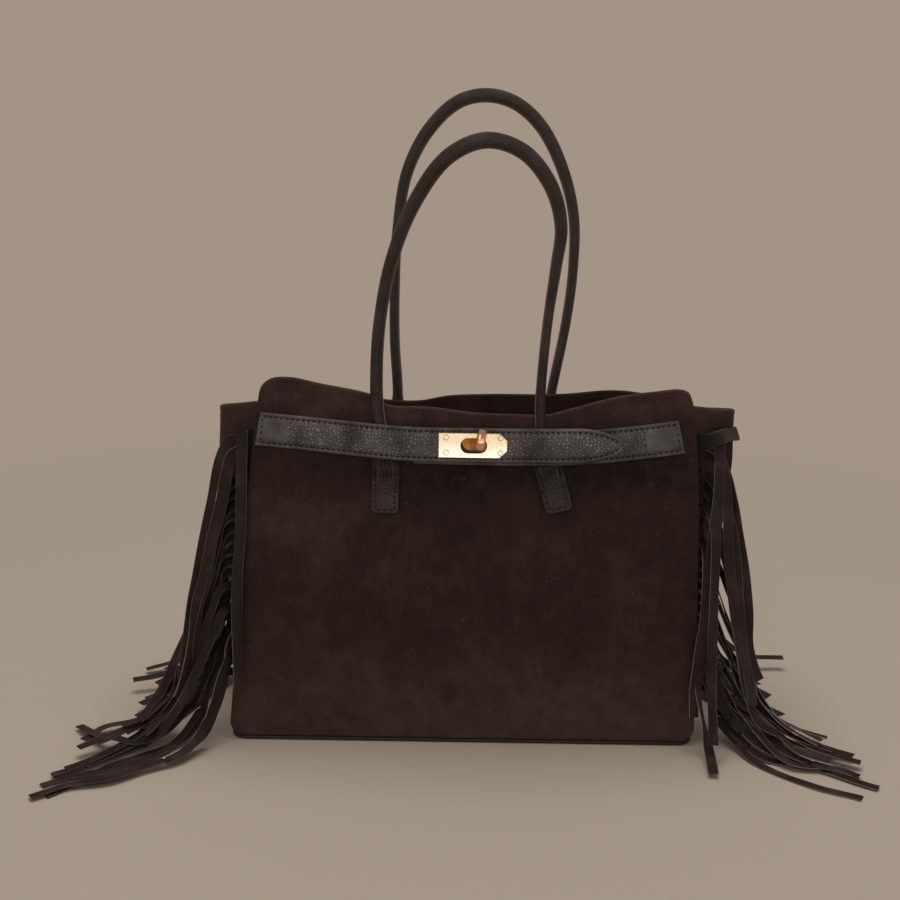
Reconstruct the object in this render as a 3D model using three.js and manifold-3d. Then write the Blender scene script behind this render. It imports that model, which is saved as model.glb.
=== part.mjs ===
// A fringed suede shoulder bag with two rolled leather handles and a belt that closes with a turn lock.
// Millimetres, +Z up, the front faces -Y. The origin is the middle of the base, on the floor.
import * as THREE from 'three';
import { mergeVertices } from 'three/addons/utils/BufferGeometryUtils.js';
import Module from 'manifold-3d';

const wasm = await Module();
wasm.setup();

const { lerp, clamp } = THREE.MathUtils;
const vector = (x, y, z) => new THREE.Vector3(x, y, z);
const left = -1;
const right = 1;
const front = -1;
const back = 1;

// Driving dimensions of the body
const baseWidth = 398;
const baseDepth = 150;
const rimHeight = 290;
const mouthDepth = 90;
const suede = 2.2;
const baseLeather = 3;
const cornerRadius = 12;
const belly = 3;
const seam = 0.3;
const rimLeft = -174;
const rimRight = 187;

// Driving dimensions of the fringe: one comb of strands in each of the four side seams
const strandCount = 22;
const strandPitch = 9.8;
const strandWidth = 9;
const strandLength = 240;
const fringeLeather = 1.2;
const lowestRoot = 58;
const combTape = 1.4;
const combTapeWidth = 9;

// Driving dimensions of the belt, the handles and the lock
const strapWidth = 27;
const strapLeather = 2.6;
const beltHeight = 259.5;
const legAtBelt = 9;
const handleRadius = 5.5;
const tabWidth = 23;
const tabLength = 42;
const tabThickness = 4.4;
const lockPlate = { width: 56.5, height: 20.6, thickness: 1.6, chamfer: 6, middle: 4.7 };
const slot = { length: 22, height: 12.8, middle: 5.4 };
const screwPlaces = [[-17.2, 6.6], [-17.2, -5.8], [27.2, 6.6], [27.2, -5.8]];
const screw = { headRadius: 2.4, headHeight: 0.8, shankRadius: 1, hole: 1.3 };
const post = { x: 12, z: 3, radius: 2.4, hole: 2.8 };
const knobLean = 12;
const eye = { length: 18.4, reach: 11.5, width: 7, openingLength: 12, openingReach: 6.2 };

// A closed body through a list of rings with equal numbers of points, capped at both ends.
function loft(rings) {
  const count = rings[0].length;
  const points = rings.flat();
  const faces = [];
  for (let ring = 0; ring + 1 < rings.length; ring += 1) {
    for (let i = 0; i < count; i += 1) {
      const a = ring * count + i;
      const b = ring * count + (i + 1) % count;
      faces.push(a, b, b + count, a, b + count, a + count);
    }
  }
  const last = (rings.length - 1) * count;
  for (let i = 1; i + 1 < count; i += 1) faces.push(0, i + 1, i, last, last + i, last + i + 1);
  return outward(points, faces);
}

// A sheet with thickness between two faces, each a function of two parameters from 0 to 1.
function sheet(across, up, outer, inner) {
  const points = [];
  for (const face of [outer, inner]) {
    for (let j = 0; j <= up; j += 1) {
      for (let i = 0; i <= across; i += 1) points.push(face(i / across, j / up));
    }
  }
  const layer = (across + 1) * (up + 1);
  const at = (i, j) => j * (across + 1) + i;
  const faces = [];
  for (let j = 0; j < up; j += 1) {
    for (let i = 0; i < across; i += 1) {
      const [a, b, c, d] = [at(i, j), at(i + 1, j), at(i + 1, j + 1), at(i, j + 1)];
      faces.push(a, b, c, a, c, d, a + layer, c + layer, b + layer, a + layer, d + layer, c + layer);
    }
  }
  const edge = [];
  for (let i = 0; i < across; i += 1) edge.push(at(i, 0));
  for (let j = 0; j < up; j += 1) edge.push(at(across, j));
  for (let i = across; i > 0; i -= 1) edge.push(at(i, up));
  for (let j = up; j > 0; j -= 1) edge.push(at(0, j));
  edge.forEach((a, i) => {
    const b = edge[(i + 1) % edge.length];
    faces.push(b, a, a + layer, b, a + layer, b + layer);
  });
  return outward(points, faces);
}

// Turns a closed body's faces outward: the signed volume under its triangles must be positive.
function outward(points, faces) {
  let volume = 0;
  for (let i = 0; i < faces.length; i += 3) {
    const [a, b, c] = [points[faces[i]], points[faces[i + 1]], points[faces[i + 2]]];
    volume += a.dot(b.clone().cross(c));
  }
  const geometry = new THREE.BufferGeometry().setFromPoints(points);
  geometry.setIndex(volume > 0 ? faces : faces.reverse());
  return geometry;
}

function toSolid(geometry) {
  const bare = geometry.clone();
  bare.deleteAttribute('normal');
  bare.deleteAttribute('uv');
  const merged = mergeVertices(bare, 1e-4);
  const vertProperties = new Float32Array(merged.attributes.position.array);
  const triVerts = new Uint32Array(merged.index.array);
  return new wasm.Manifold(new wasm.Mesh({ numProp: 3, vertProperties, triVerts }));
}

function fromSolid(solid) {
  const mesh = solid.getMesh();
  const geometry = new THREE.BufferGeometry();
  geometry.setAttribute('position', new THREE.BufferAttribute(mesh.vertProperties, 3));
  geometry.setIndex(new THREE.BufferAttribute(mesh.triVerts, 1));
  return geometry;
}

function joined(geometries) {
  return fromSolid(geometries.map(toSolid).reduce((sum, next) => sum.add(next)));
}

function cut(geometry, tools) {
  return fromSolid(tools.map(toSolid).reduce((rest, tool) => rest.subtract(tool), toSolid(geometry)));
}

// A cylinder along the Y axis, from one y to another, round (x, z).
function rod(radius, x, z, fromY, toY, sides = 14) {
  const geometry = new THREE.CylinderGeometry(radius, radius, Math.abs(toY - fromY), sides);
  return geometry.translate(x, (fromY + toY) / 2, z);
}

// A flat outline in X and Z, given thickness along Y from fromY outwards to toY, towards the front.
function plateFrom(outline, fromY, toY, bevel = 0) {
  const geometry = new THREE.ExtrudeGeometry(outline, {
    depth: fromY - toY - 2 * bevel,
    bevelEnabled: bevel > 0,
    bevelThickness: bevel,
    bevelSize: bevel,
    bevelOffset: -bevel,
    bevelSegments: 1,
    curveSegments: 6,
  });
  return geometry.rotateX(Math.PI / 2).translate(0, fromY - bevel, 0);
}

// The pill-shaped outline of a slot: two straight sides and two half circles.
function pill(path, x, z, length, height) {
  const radius = height / 2;
  const reach = length / 2 - radius;
  path.absarc(x + reach, z, radius, -Math.PI / 2, Math.PI / 2);
  path.absarc(x - reach, z, radius, Math.PI / 2, 1.5 * Math.PI);
  return path.closePath();
}

function roundedRectangle(width, depth, radius) {
  const outline = new THREE.Shape();
  const [x, y] = [width / 2 - radius, depth / 2 - radius];
  outline.absarc(x, y, radius, 0, Math.PI / 2);
  outline.absarc(-x, y, radius, Math.PI / 2, Math.PI);
  outline.absarc(-x, -y, radius, Math.PI, 1.5 * Math.PI);
  outline.absarc(x, -y, radius, 1.5 * Math.PI, 2 * Math.PI);
  return outline.closePath();
}

// Leathers, suede and metal
function finish(colour, roughness, metalness = 0) {
  return new THREE.MeshStandardMaterial({ color: colour, roughness, metalness });
}
const brownSuede = () => finish('#2b1d19', 0.95);
const fringeSuede = () => finish('#1f1716', 0.95);
const grainedLeather = () => finish('#45403f', 0.55);
const handleLeather = () => finish('#403332', 0.5);
const smoothBaseLeather = () => finish('#141011', 0.45);
const darkLining = () => finish('#110908', 0.9);
const grayBoard = () => finish('#4a4540', 0.9);
const paleGold = () => finish('#f3d7a8', 0.18, 1);

// The standing walls. They lean in towards the mouth and bulge a little on the way up.
function wallFace(z) {
  const rise = z / rimHeight;
  return lerp(baseDepth / 2, mouthDepth / 2, rise) + belly * Math.sin(Math.PI * rise);
}

function sideEdge(side, z) {
  const rim = side === left ? rimLeft : rimRight;
  return lerp(side * baseWidth / 2, rim, z / rimHeight);
}

// Height of the lower edge of a wall, at a distance from its corner: a quarter round.
function footHeight(distance) {
  const short = cornerRadius - Math.min(distance, cornerRadius);
  return baseLeather + seam + cornerRadius - Math.sqrt(cornerRadius ** 2 - short ** 2);
}

// The rims sag between the handles and stand up at the corners, where the belt pulls the sides in.
const frontRim = new THREE.SplineCurve([
  [rimLeft, 291], [-171, 304], [-163, 310.5], [-147, 312], [-122, 307], [-79, 298], [-66, 290],
  [-33, 289], [2, 285], [38, 284], [66, 284], [84, 289], [126, 300], [154, 304.5], [176, 306.5],
  [183, 304], [rimRight, 295],
].map(([x, z]) => new THREE.Vector2(x, z)));
const backRim = new THREE.SplineCurve([
  [rimLeft, 268], [-171, 274], [-163, 280], [-140, 285], [-105, 281], [-73, 274.5], [-41, 274],
  [-16, 279], [20, 281], [83, 282], [123, 286], [140, 286], [158, 283.5], [172, 280], [182, 275],
  [rimRight, 268],
].map(([x, z]) => new THREE.Vector2(x, z)));

function wallPanel(rim, facing) {
  const place = (u, v, inset) => {
    const top = rim.getPoint(u);
    const across = clamp((top.x - rimLeft) / (rimRight - rimLeft), 0, 1);
    const footX = lerp(-baseWidth / 2, baseWidth / 2, across);
    const z = lerp(footHeight(baseWidth / 2 - Math.abs(footX)), top.y, v);
    return vector(lerp(footX, top.x, v), facing * (wallFace(z) - inset), z);
  };
  return sheet(20, 6, (u, v) => place(u, v, 0), (u, v) => place(u, v, suede));
}

// A side gusset is as wide as the base and the mouth is narrower, so it folds outward into an ear.
// Its top edge falls from the front seam to the fold and on to the back seam. The right ear's front half
// first runs back along the panel, so there is a deep valley beside the seam.
const earReach = { [left]: 37, [right]: 44 };
const earTop = {
  [left]: { atFront: 291.5, atFold: 278, atBack: 270 },
  [right]: { atFront: 293, atFold: 281, atBack: 272 },
};
const earBow = (side, t) => (side === right && t < 0 ? 0.7 : 1.6);
const gussetFront = (z) => wallFace(z) - suede - combTape - 2 * seam;

function gussetFace(side, t, z) {
  const spread = 1 - (1 - clamp(z / rimHeight, 0, 1)) ** 1.4;
  const reach = earReach[side] * spread * (1 - Math.abs(t) ** earBow(side, t));
  const edgeInset = 1.5;
  return sideEdge(side, z) + side * (reach - edgeInset);
}

function gusset(side) {
  const place = (u, v, inset) => {
    const t = 2 * u - 1;
    const { atFront, atFold, atBack } = earTop[side];
    const top = lerp(atFold, t < 0 ? atFront : atBack, Math.abs(t) ** 1.2);
    const z = lerp(footHeight((1 - Math.abs(t)) * baseDepth / 2), top, v);
    return vector(gussetFace(side, t, z) - side * inset, t * gussetFront(z), z);
  };
  return sheet(12, 6, (u, v) => place(u, v, 0), (u, v) => place(u, v, suede));
}

// The base: a smooth leather panel that the walls stand on, and a stiff board on top of it.
function flatPanel(width, depth, radius, bottom, thickness, bevel) {
  const geometry = new THREE.ExtrudeGeometry(roundedRectangle(width, depth, radius), {
    depth: thickness - 2 * bevel,
    bevelEnabled: bevel > 0,
    bevelThickness: bevel,
    bevelSize: bevel,
    bevelOffset: -bevel,
    bevelSegments: 1,
    curveSegments: 5,
  });
  return geometry.translate(0, 0, bottom + bevel);
}
const board = { width: 378, depth: 132, thickness: 2.4 };

// The lining is a dark cloth bag. It hangs inside the walls and lies on the board.
const liningCloth = 1;
const liningSlack = 2.5;
const liningTop = 264;
const liningFloor = baseLeather + 2 * seam + board.thickness;

function liningRing(z, inset) {
  const wall = wallFace(z) - suede - combTape - 3 * seam - inset;
  const sideX = (side, t) => gussetFace(side, t, z) - side * (suede + liningSlack + inset);
  const points = [];
  const alongWall = 9;
  const alongGusset = 8;
  for (const [side, facing] of [[left, front], [right, back]]) {
    for (let i = 0; i < alongWall; i += 1) {
      const x = lerp(sideX(side, 1), sideX(-side, 1), i / alongWall);
      points.push(vector(x, facing * wall, z));
    }
    for (let i = 0; i < alongGusset; i += 1) {
      const t = lerp(facing, -facing, i / alongGusset);
      points.push(vector(sideX(-side, t), t * wall, z));
    }
  }
  return points;
}

function liningBag() {
  const heights = [0, 0.15, 0.35, 0.55, 0.75, 0.9, 1].map((rise) => lerp(liningFloor, liningTop, rise));
  const inner = heights.map((z, i) => liningRing(i === 0 ? z + liningCloth : z, liningCloth));
  const outer = heights.map((z) => liningRing(z, 0));
  return loft([...inner, ...outer.reverse()]);
}

// Fringe. A comb of strands is sewn into each side seam by its tape. Every strand leaves the seam
// level with its root, turns flat over the strand below it, falls, and runs out along the floor.
// All strands share one path, moved up by a pitch each, so they lie on each other without touching.
const layer = 1.6;
const fallSlope = 0.2;

function strandPath(side, root, index) {
  const floor = 1 + layer * index;
  const fallStart = [15, root - 10];
  const edgeSlope = Math.abs(sideEdge(side, 0) - sideEdge(side, rimHeight)) / rimHeight;
  const fallOut = (z) => fallStart[0] + (fallSlope + edgeSlope) * (fallStart[1] - z);
  const bend = 22;
  const foot = fallOut(floor);
  const corners = [
    [-5, root], [5, root], [11, root - 2], fallStart,
    [fallOut(floor + bend), floor + bend], [foot + 6, floor + 7], [foot + bend, floor],
    [foot + strandLength, floor],
  ];
  return corners.map(([out, z]) => ({ out, z }));
}

// Walks the path until the strand's length is used up, and drifts sideways by the fan angle.
function strand(side, facing, index, fan) {
  const root = lowestRoot + strandPitch * index;
  const seamX = sideEdge(side, root);
  const seamY = facing * (wallFace(root) - suede - seam - combTape / 2);
  const fanStart = 24;
  const place = ({ out, z }) => vector(
    seamX + side * out,
    seamY + fan * Math.max(0, out - fanStart),
    z,
  );
  const path = strandPath(side, root, index).map(place);
  const stations = [path[0]];
  let used = 0;
  for (let i = 1; i < path.length && used < strandLength; i += 1) {
    const step = path[i].distanceTo(path[i - 1]);
    const share = Math.min(1, (strandLength - used) / step);
    stations.push(path[i - 1].clone().lerp(path[i], share));
    used += step;
  }
  const seamUp = vector(0, facing * (wallFace(root + 1) - wallFace(root)), 1).normalize();
  const turns = [0, 0, 0.6, 1];
  const rings = stations.map((point, i) => {
    const before = stations[Math.max(0, i - 1)];
    const after = stations[Math.min(stations.length - 1, i + 1)];
    const along = after.clone().sub(before).setY(0).normalize();
    const wide = seamUp.clone().lerp(vector(0, 1, 0), turns[i] ?? 1);
    wide.addScaledVector(along, -along.dot(wide)).normalize();
    const thick = along.clone().cross(wide).normalize();
    return [[1, 1], [-1, 1], [-1, -1], [1, -1]].map(([w, t]) => point.clone()
      .addScaledVector(wide, w * strandWidth / 2)
      .addScaledVector(thick, t * fringeLeather / 2));
  });
  return loft(rings);
}

function fringe(side, facing, lowFan, highFan) {
  const tapeBottom = lowestRoot - strandPitch / 2;
  const tapeTop = lowestRoot + strandPitch * (strandCount - 0.5);
  const tapeFace = (inset) => (u, v) => {
    const z = lerp(tapeBottom, tapeTop, v);
    const y = facing * (wallFace(z) - suede - seam - inset);
    return vector(sideEdge(side, z) - side * lerp(1.2, combTapeWidth, u), y, z);
  };
  const pieces = [sheet(1, 6, tapeFace(0), tapeFace(combTape))];
  for (let index = 0; index < strandCount; index += 1) {
    const share = index / (strandCount - 1);
    pieces.push(strand(side, facing, index, lerp(lowFan, highFan, share)));
  }
  return joined(pieces);
}

// Handles: leather rolled round, with flat tabs sewn to the panels and wrinkled above the stitching.
const outside = (facing, z, depth) => facing * (wallFace(z) + 2 * seam + depth);

function handleRoute(facing, tabs, points) {
  const legs = tabs.map(({ topX, slant, foot }) => [1, 0.5, 0].map((down) => {
    const z = foot + tabLength * (1 - down);
    return [topX + slant * down, outside(facing, z, tabThickness / 2), z];
  }));
  const all = [...legs[0], ...points, ...legs[1].reverse()];
  return new THREE.CatmullRomCurve3(all.map((point) => vector(...point)), false, 'centripetal');
}

// Half width and half depth of the handle at a distance from its nearer end. The strip is rolled round
// over 34 mm above the tab, and the legs grow thicker on the way up.
const rolledAt = tabLength + 34;

function handleSection(distance, legHalfWidth) {
  const cornerCut = 2;
  const rounded = THREE.MathUtils.smoothstep(distance, tabLength, rolledAt);
  const flatWidth = tabWidth / 2 - (distance < 1 ? cornerCut : 0);
  const legWidth = lerp(legHalfWidth, handleRadius, THREE.MathUtils.smoothstep(distance, 90, 240));
  const legDepth = lerp(legAtBelt / 2, handleRadius, THREE.MathUtils.smoothstep(distance, 80, 150));
  return [lerp(flatWidth, legWidth, rounded), lerp(tabThickness / 2, legDepth, rounded), rounded];
}

function handle(route, legHalfWidth) {
  const length = route.getLength();
  const endStations = [0, 1.5, tabLength / 2, tabLength - 1, 52, 60, 68, rolledAt + 2];
  const freeFrom = rolledAt + 2;
  const freeSteps = 22;
  const stations = [...endStations];
  for (let i = 1; i < freeSteps; i += 1) {
    stations.push(lerp(freeFrom, length - freeFrom, i / freeSteps));
  }
  stations.push(...endStations.map((distance) => length - distance).reverse());
  const sides = 10;
  const rings = stations.map((distance) => {
    const u = clamp(distance / length, 0, 1);
    const point = route.getPointAt(u);
    const along = route.getTangentAt(u);
    const deep = vector(0, 1, 0).addScaledVector(along, -along.y).normalize();
    const wide = along.clone().cross(deep);
    const fromEnd = Math.min(distance, length - distance);
    const [halfWidth, halfDepth, rounded] = handleSection(fromEnd, legHalfWidth);
    const square = lerp(0.35, 1, rounded);
    return Array.from({ length: sides }, (_, i) => {
      const angle = 2 * Math.PI * (i + 0.5) / sides;
      const [c, s] = [Math.cos(angle), Math.sin(angle)];
      return point.clone()
        .addScaledVector(wide, halfWidth * Math.sign(c) * Math.abs(c) ** square)
        .addScaledVector(deep, halfDepth * Math.sign(s) * Math.abs(s) ** square);
    });
  });
  return loft(rings);
}

const frontTabs = [{ topX: -67.5, slant: 0, foot: 200.5 }, { topX: 66.6, slant: 12, foot: 204 }];
const frontHandleRoute = handleRoute(front, frontTabs, [
  [-70.5, outside(front, 262, legAtBelt / 2), 262], [-74.5, -52, 287], [-75.3, -56.5, 318],
  [-72.5, -63, 362], [-63, -73.5, 412], [-44.5, -86, 460], [-18.5, -98, 496], [9.7, -102.5, 508.3],
  [38, -99.5, 500], [60.5, -90.5, 473.5], [69.8, -81, 442], [67.7, -73, 412], [63.5, -64, 370],
  [60.3, -56.5, 318], [60.2, -52, 287], [63, outside(front, 262, legAtBelt / 2), 262],
]);
const rearTabs = [{ topX: -61.6, slant: 1, foot: 204 }, { topX: 71.5, slant: -6, foot: 204 }];
const rearHandleRoute = handleRoute(back, rearTabs, [
  [-62, outside(back, 262, legAtBelt / 2), 262], [-62.4, 52, 287], [-65, 53, 325], [-65.3, 53, 372],
  [-63, 51.7, 425], [-54.5, 50, 475.5], [-36, 48.5, 511], [-12, 47.3, 533.5], [12.2, 47, 539.5],
  [37, 47.3, 533.5], [60, 48.4, 514], [80, 50, 477], [90.6, 51.3, 438], [91.8, 52.5, 392],
  [87.5, 53, 346], [77.5, 52, 287], [74, outside(back, 262, legAtBelt / 2), 262],
]);

// Belt and lock. Both lie in one frame, on the front panel and leaning as it does at belt height:
// local z runs up the panel, local y = 0 is the panel's face and -y points out to the viewer.
const leanStep = 5;
const beltLean = Math.atan2(
  wallFace(beltHeight - leanStep) - wallFace(beltHeight + leanStep),
  2 * leanStep,
);
const belt = new THREE.Group();
belt.position.set(0, -wallFace(beltHeight), beltHeight);
belt.rotation.x = -beltLean;

const onPanel = -(2 * seam + strapLeather / 2);
const overLeg = -(4 * seam + legAtBelt + strapLeather / 2);
const lockFace = overLeg - strapLeather / 2;
const turnBase = { from: lockFace - seam, thickness: 1.2, width: 30, height: 14 };
const backPlate = {
  from: turnBase.from - turnBase.thickness - seam,
  thickness: 0.8,
  width: 52,
  height: 18,
  chamfer: 4,
};
const strapBack = backPlate.from - backPlate.thickness - seam;
const upperStrapMiddle = strapBack - strapLeather / 2;
const plateBack = strapBack - strapLeather - seam;
const plateFace = plateBack - lockPlate.thickness;
const lockHeight = 0.6;

function strap(route, halfWidthAt, steps) {
  const face = (depth) => (u, v) => {
    const middle = route.getPoint(u);
    const ahead = route.getTangent(u);
    const sideways = vector(-ahead.z, 0, ahead.x).normalize();
    const out = vector(ahead.y, -ahead.x, 0).normalize();
    return middle.addScaledVector(sideways, lerp(-1, 1, v) * halfWidthAt(u)).addScaledVector(out, depth);
  };
  return sheet(steps, 2, face(strapLeather / 2), face(-strapLeather / 2));
}

// The upper strap is sewn to the left end of the panel and ends in a rounded point.
const upperRoute = new THREE.CatmullRomCurve3([
  [-171, onPanel, 9.5], [-140, onPanel - 0.3, 7], [-108, onPanel - 3.5, 4.5], [-76, overLeg - 1.2, 2.4],
  [-48, upperStrapMiddle + 1, 0.8], [-23, upperStrapMiddle, 0.6], [5, upperStrapMiddle, 0.6],
  [34, upperStrapMiddle, 0.6], [62, upperStrapMiddle, 0.9], [90, upperStrapMiddle + 1, 1.3],
  [129, upperStrapMiddle + 1.6, 2],
].map((point) => vector(...point)));
function upperHalfWidth(u) {
  const pointStart = 0.91;
  const taper = clamp((u - pointStart) / (1 - pointStart), 0, 1);
  return Math.max(1.5, strapWidth / 2 * Math.sqrt(1 - taper ** 1.8));
}

// The under strap is sewn to the right end and carries the turning half of the lock.
const underRoute = new THREE.CatmullRomCurve3([
  [180, onPanel, 8.5], [146, onPanel - 0.3, 3.6], [112, onPanel - 3.5, 0], [84, overLeg + 1.4, -1.4],
  [60, overLeg, -2], [20, overLeg, -2.4], [-12, overLeg, -2.2], [-44, overLeg, -1.6],
].map((point) => vector(...point)));

// Cutters reach a little past both faces of what they cut.
const past = 1;
const slotCutter = (fromY, toY) => plateFrom(
  pill(new THREE.Shape(), slot.middle, lockHeight, slot.length, slot.height),
  fromY + past,
  toY - past,
);
const screwHoles = (fromY, toY) => screwPlaces.map(([x, z]) => (
  rod(screw.hole, x, z + lockHeight, fromY + past, toY - past)
));
const prong = { places: [-11, 9], width: 2.2, thickness: 0.8, beyond: 1.2, clearance: 0.4 };

function closureStrap() {
  const blank = strap(upperRoute, upperHalfWidth, 36);
  return cut(blank, [slotCutter(strapBack, plateBack), ...screwHoles(strapBack, plateBack)]);
}

function underStrap() {
  const prongSlits = prong.places.map((x) => {
    const [width, height] = [prong.width, prong.thickness].map((size) => size + 2 * prong.clearance);
    return new THREE.BoxGeometry(width, 2 * strapLeather, height).translate(post.x + x, overLeg, post.z);
  });
  const postHole = rod(post.hole, post.x, post.z, overLeg + strapLeather, overLeg - strapLeather);
  return cut(strap(underRoute, () => strapWidth / 2, 26), [postHole, ...prongSlits]);
}

// The lock plate is a bevelled gold plate with two clipped corners at its right end.
function lockOutline(width, height, clip) {
  const [x, z] = [width / 2, height / 2];
  return new THREE.Shape([
    [-x, -z], [x - clip * 1.1, -z], [x, -z + clip], [x, z - clip], [x - clip * 1.1, z], [-x, z],
  ].map(([px, pz]) => new THREE.Vector2(px, pz)));
}

function slottedPlate(width, height, clip, fromY, toY, bevel) {
  const blank = plateFrom(lockOutline(width, height, clip), fromY, toY, bevel);
  blank.translate(lockPlate.middle, 0, lockHeight);
  return cut(blank, [
    slotCutter(fromY, toY),
    ...screwHoles(fromY, toY),
  ]);
}

// A small cheese-head screw with a driver slot, from the plate's face back into the back plate.
function plateScrew(x, z) {
  const headTop = plateFace - seam - screw.headHeight;
  const shankEnd = backPlate.from - backPlate.thickness / 2;
  const profile = [
    [0, 0], [screw.headRadius * 0.7, 0], [screw.headRadius, 0.35], [screw.headRadius, screw.headHeight],
    [screw.shankRadius, screw.headHeight], [screw.shankRadius, shankEnd - headTop], [0, shankEnd - headTop],
  ].map(([radius, depth]) => new THREE.Vector2(radius, depth));
  const body = new THREE.LatheGeometry(profile, 12).translate(x, headTop, z + lockHeight);
  const driverSlot = new THREE.BoxGeometry(2 * screw.headRadius + 1, 0.7, 0.7);
  driverSlot.rotateY(Math.PI / 5).translate(x, headTop, z + lockHeight);
  return cut(body, [driverSlot]);
}

// The turning half: a base plate held to the under strap by two prongs, with a hole for the post.
function turnBasePlate() {
  const end = turnBase.from - turnBase.thickness;
  const outline = pill(new THREE.Shape(), post.x - 1, post.z, turnBase.width, turnBase.height);
  const prongEnd = overLeg + strapLeather / 2 + prong.beyond;
  const prongLength = prongEnd - turnBase.from + turnBase.thickness / 2;
  const prongs = prong.places.map((x) => {
    const bar = new THREE.BoxGeometry(prong.width, prongLength, prong.thickness);
    return bar.translate(post.x + x, prongEnd - prongLength / 2, post.z);
  });
  const plate = joined([plateFrom(outline, turnBase.from, end), ...prongs]);
  return cut(plate, [rod(post.hole, post.x, post.z, turnBase.from + past, end - past)]);
}

const washerFrom = overLeg + strapLeather / 2 + seam;
const washerThickness = 0.8;

function turnWasher() {
  const rim = 5.6;
  const corners = [[post.hole, 0], [rim, 0], [rim, washerThickness], [post.hole, washerThickness]];
  const profile = [...corners, corners[0]].map(([radius, y]) => new THREE.Vector2(radius, y));
  return new THREE.LatheGeometry(profile, 20).translate(post.x, washerFrom, post.z);
}

// The knob: an eye on a post, nearly upright. The post runs back through the base, the strap and the
// washer to its riveted foot. Turned level, the eye lines up with the slot, and the belt lifts off.
const eyeFoot = plateFace - 2 * seam;
const eyeMiddle = eyeFoot - eye.reach / 2;
const footFrom = washerFrom + washerThickness + seam;

function turnKnob() {
  const outline = new THREE.Shape().absellipse(0, 0, eye.reach / 2, eye.length / 2, 0, 2 * Math.PI);
  outline.holes.push(new THREE.Path().absellipse(
    0, 0, eye.openingReach / 2, eye.openingLength / 2, 0, 2 * Math.PI, true,
  ));
  const bevel = 1;
  const band = new THREE.ExtrudeGeometry(outline, {
    depth: eye.width - 2 * bevel,
    bevelThickness: bevel,
    bevelSize: bevel,
    bevelOffset: -bevel,
    bevelSegments: 1,
    curveSegments: 12,
  });
  band.translate(0, 0, -eye.width / 2 + bevel).rotateX(Math.PI / 2).rotateZ(Math.PI / 2);
  band.translate(0, eyeMiddle, 0);
  const postRod = rod(post.radius, 0, 0, footFrom + 0.5, eyeFoot - 1.4);
  const foot = rod(4.2, 0, 0, footFrom, footFrom + 1);
  const peephole = new THREE.SphereGeometry(1, 12, 8).scale(1, 5, 2).translate(0, eyeFoot - eye.reach, 0);
  const knob = cut(joined([band, postRod, foot]), [peephole]);
  return knob.rotateY(THREE.MathUtils.degToRad(knobLean));
}

// Assembly
function piece(name, geometry, material, parent) {
  const mesh = new THREE.Mesh(geometry, material);
  mesh.name = name;
  parent.add(mesh);
  return mesh;
}

const group = new THREE.Group();
piece('front_panel', wallPanel(frontRim, front), brownSuede(), group);
piece('back_panel', wallPanel(backRim, back), brownSuede(), group);
piece('left_gusset', gusset(left), brownSuede(), group);
piece('right_gusset', gusset(right), brownSuede(), group);
piece('base_panel', flatPanel(baseWidth, baseDepth, 14, 0, baseLeather, 0.6), smoothBaseLeather(), group);
piece(
  'base_board',
  flatPanel(board.width, board.depth, 10, baseLeather + seam, board.thickness, 0),
  grayBoard(),
  group,
);
piece('lining', liningBag(), darkLining(), group);
piece('front_handle', handle(frontHandleRoute, 4.9), handleLeather(), group);
piece('rear_handle', handle(rearHandleRoute, 4), handleLeather(), group);
piece('fringe_front_left', fringe(left, front, -0.8, -0.05), fringeSuede(), group);
piece('fringe_back_left', fringe(left, back, -0.4, 0.25), fringeSuede(), group);
piece('fringe_front_right', fringe(right, front, -0.75, -0.05), fringeSuede(), group);
piece('fringe_back_right', fringe(right, back, -0.1, 0.35), fringeSuede(), group);

piece('closure_strap', closureStrap(), grainedLeather(), belt);
piece('under_strap', underStrap(), grainedLeather(), belt);
piece(
  'lock_plate',
  slottedPlate(lockPlate.width, lockPlate.height, lockPlate.chamfer, plateBack, plateFace, 0.5),
  paleGold(),
  belt,
);
piece(
  'lock_back_plate',
  slottedPlate(
    backPlate.width,
    backPlate.height,
    backPlate.chamfer,
    backPlate.from,
    backPlate.from - backPlate.thickness,
    0,
  ),
  paleGold(),
  belt,
);
screwPlaces.forEach(([x, z], i) => piece(`plate_screw_${i + 1}`, plateScrew(x, z), paleGold(), belt));
piece('turn_base', turnBasePlate(), paleGold(), belt);
piece('turn_washer', turnWasher(), paleGold(), belt);
piece('turn_knob', turnKnob(), paleGold(), belt).position.set(post.x, 0, post.z);
group.add(belt);

export default group;
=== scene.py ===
# A fringed suede shoulder bag: brown suede walls on a smooth leather base, a grained leather belt with a
# gold turn lock, two rolled handles, and long fringe in the side seams. Metres, +Z up, the front faces -Y.
import math
import bpy
import numpy as np
from mathutils import Matrix, Vector


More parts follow.
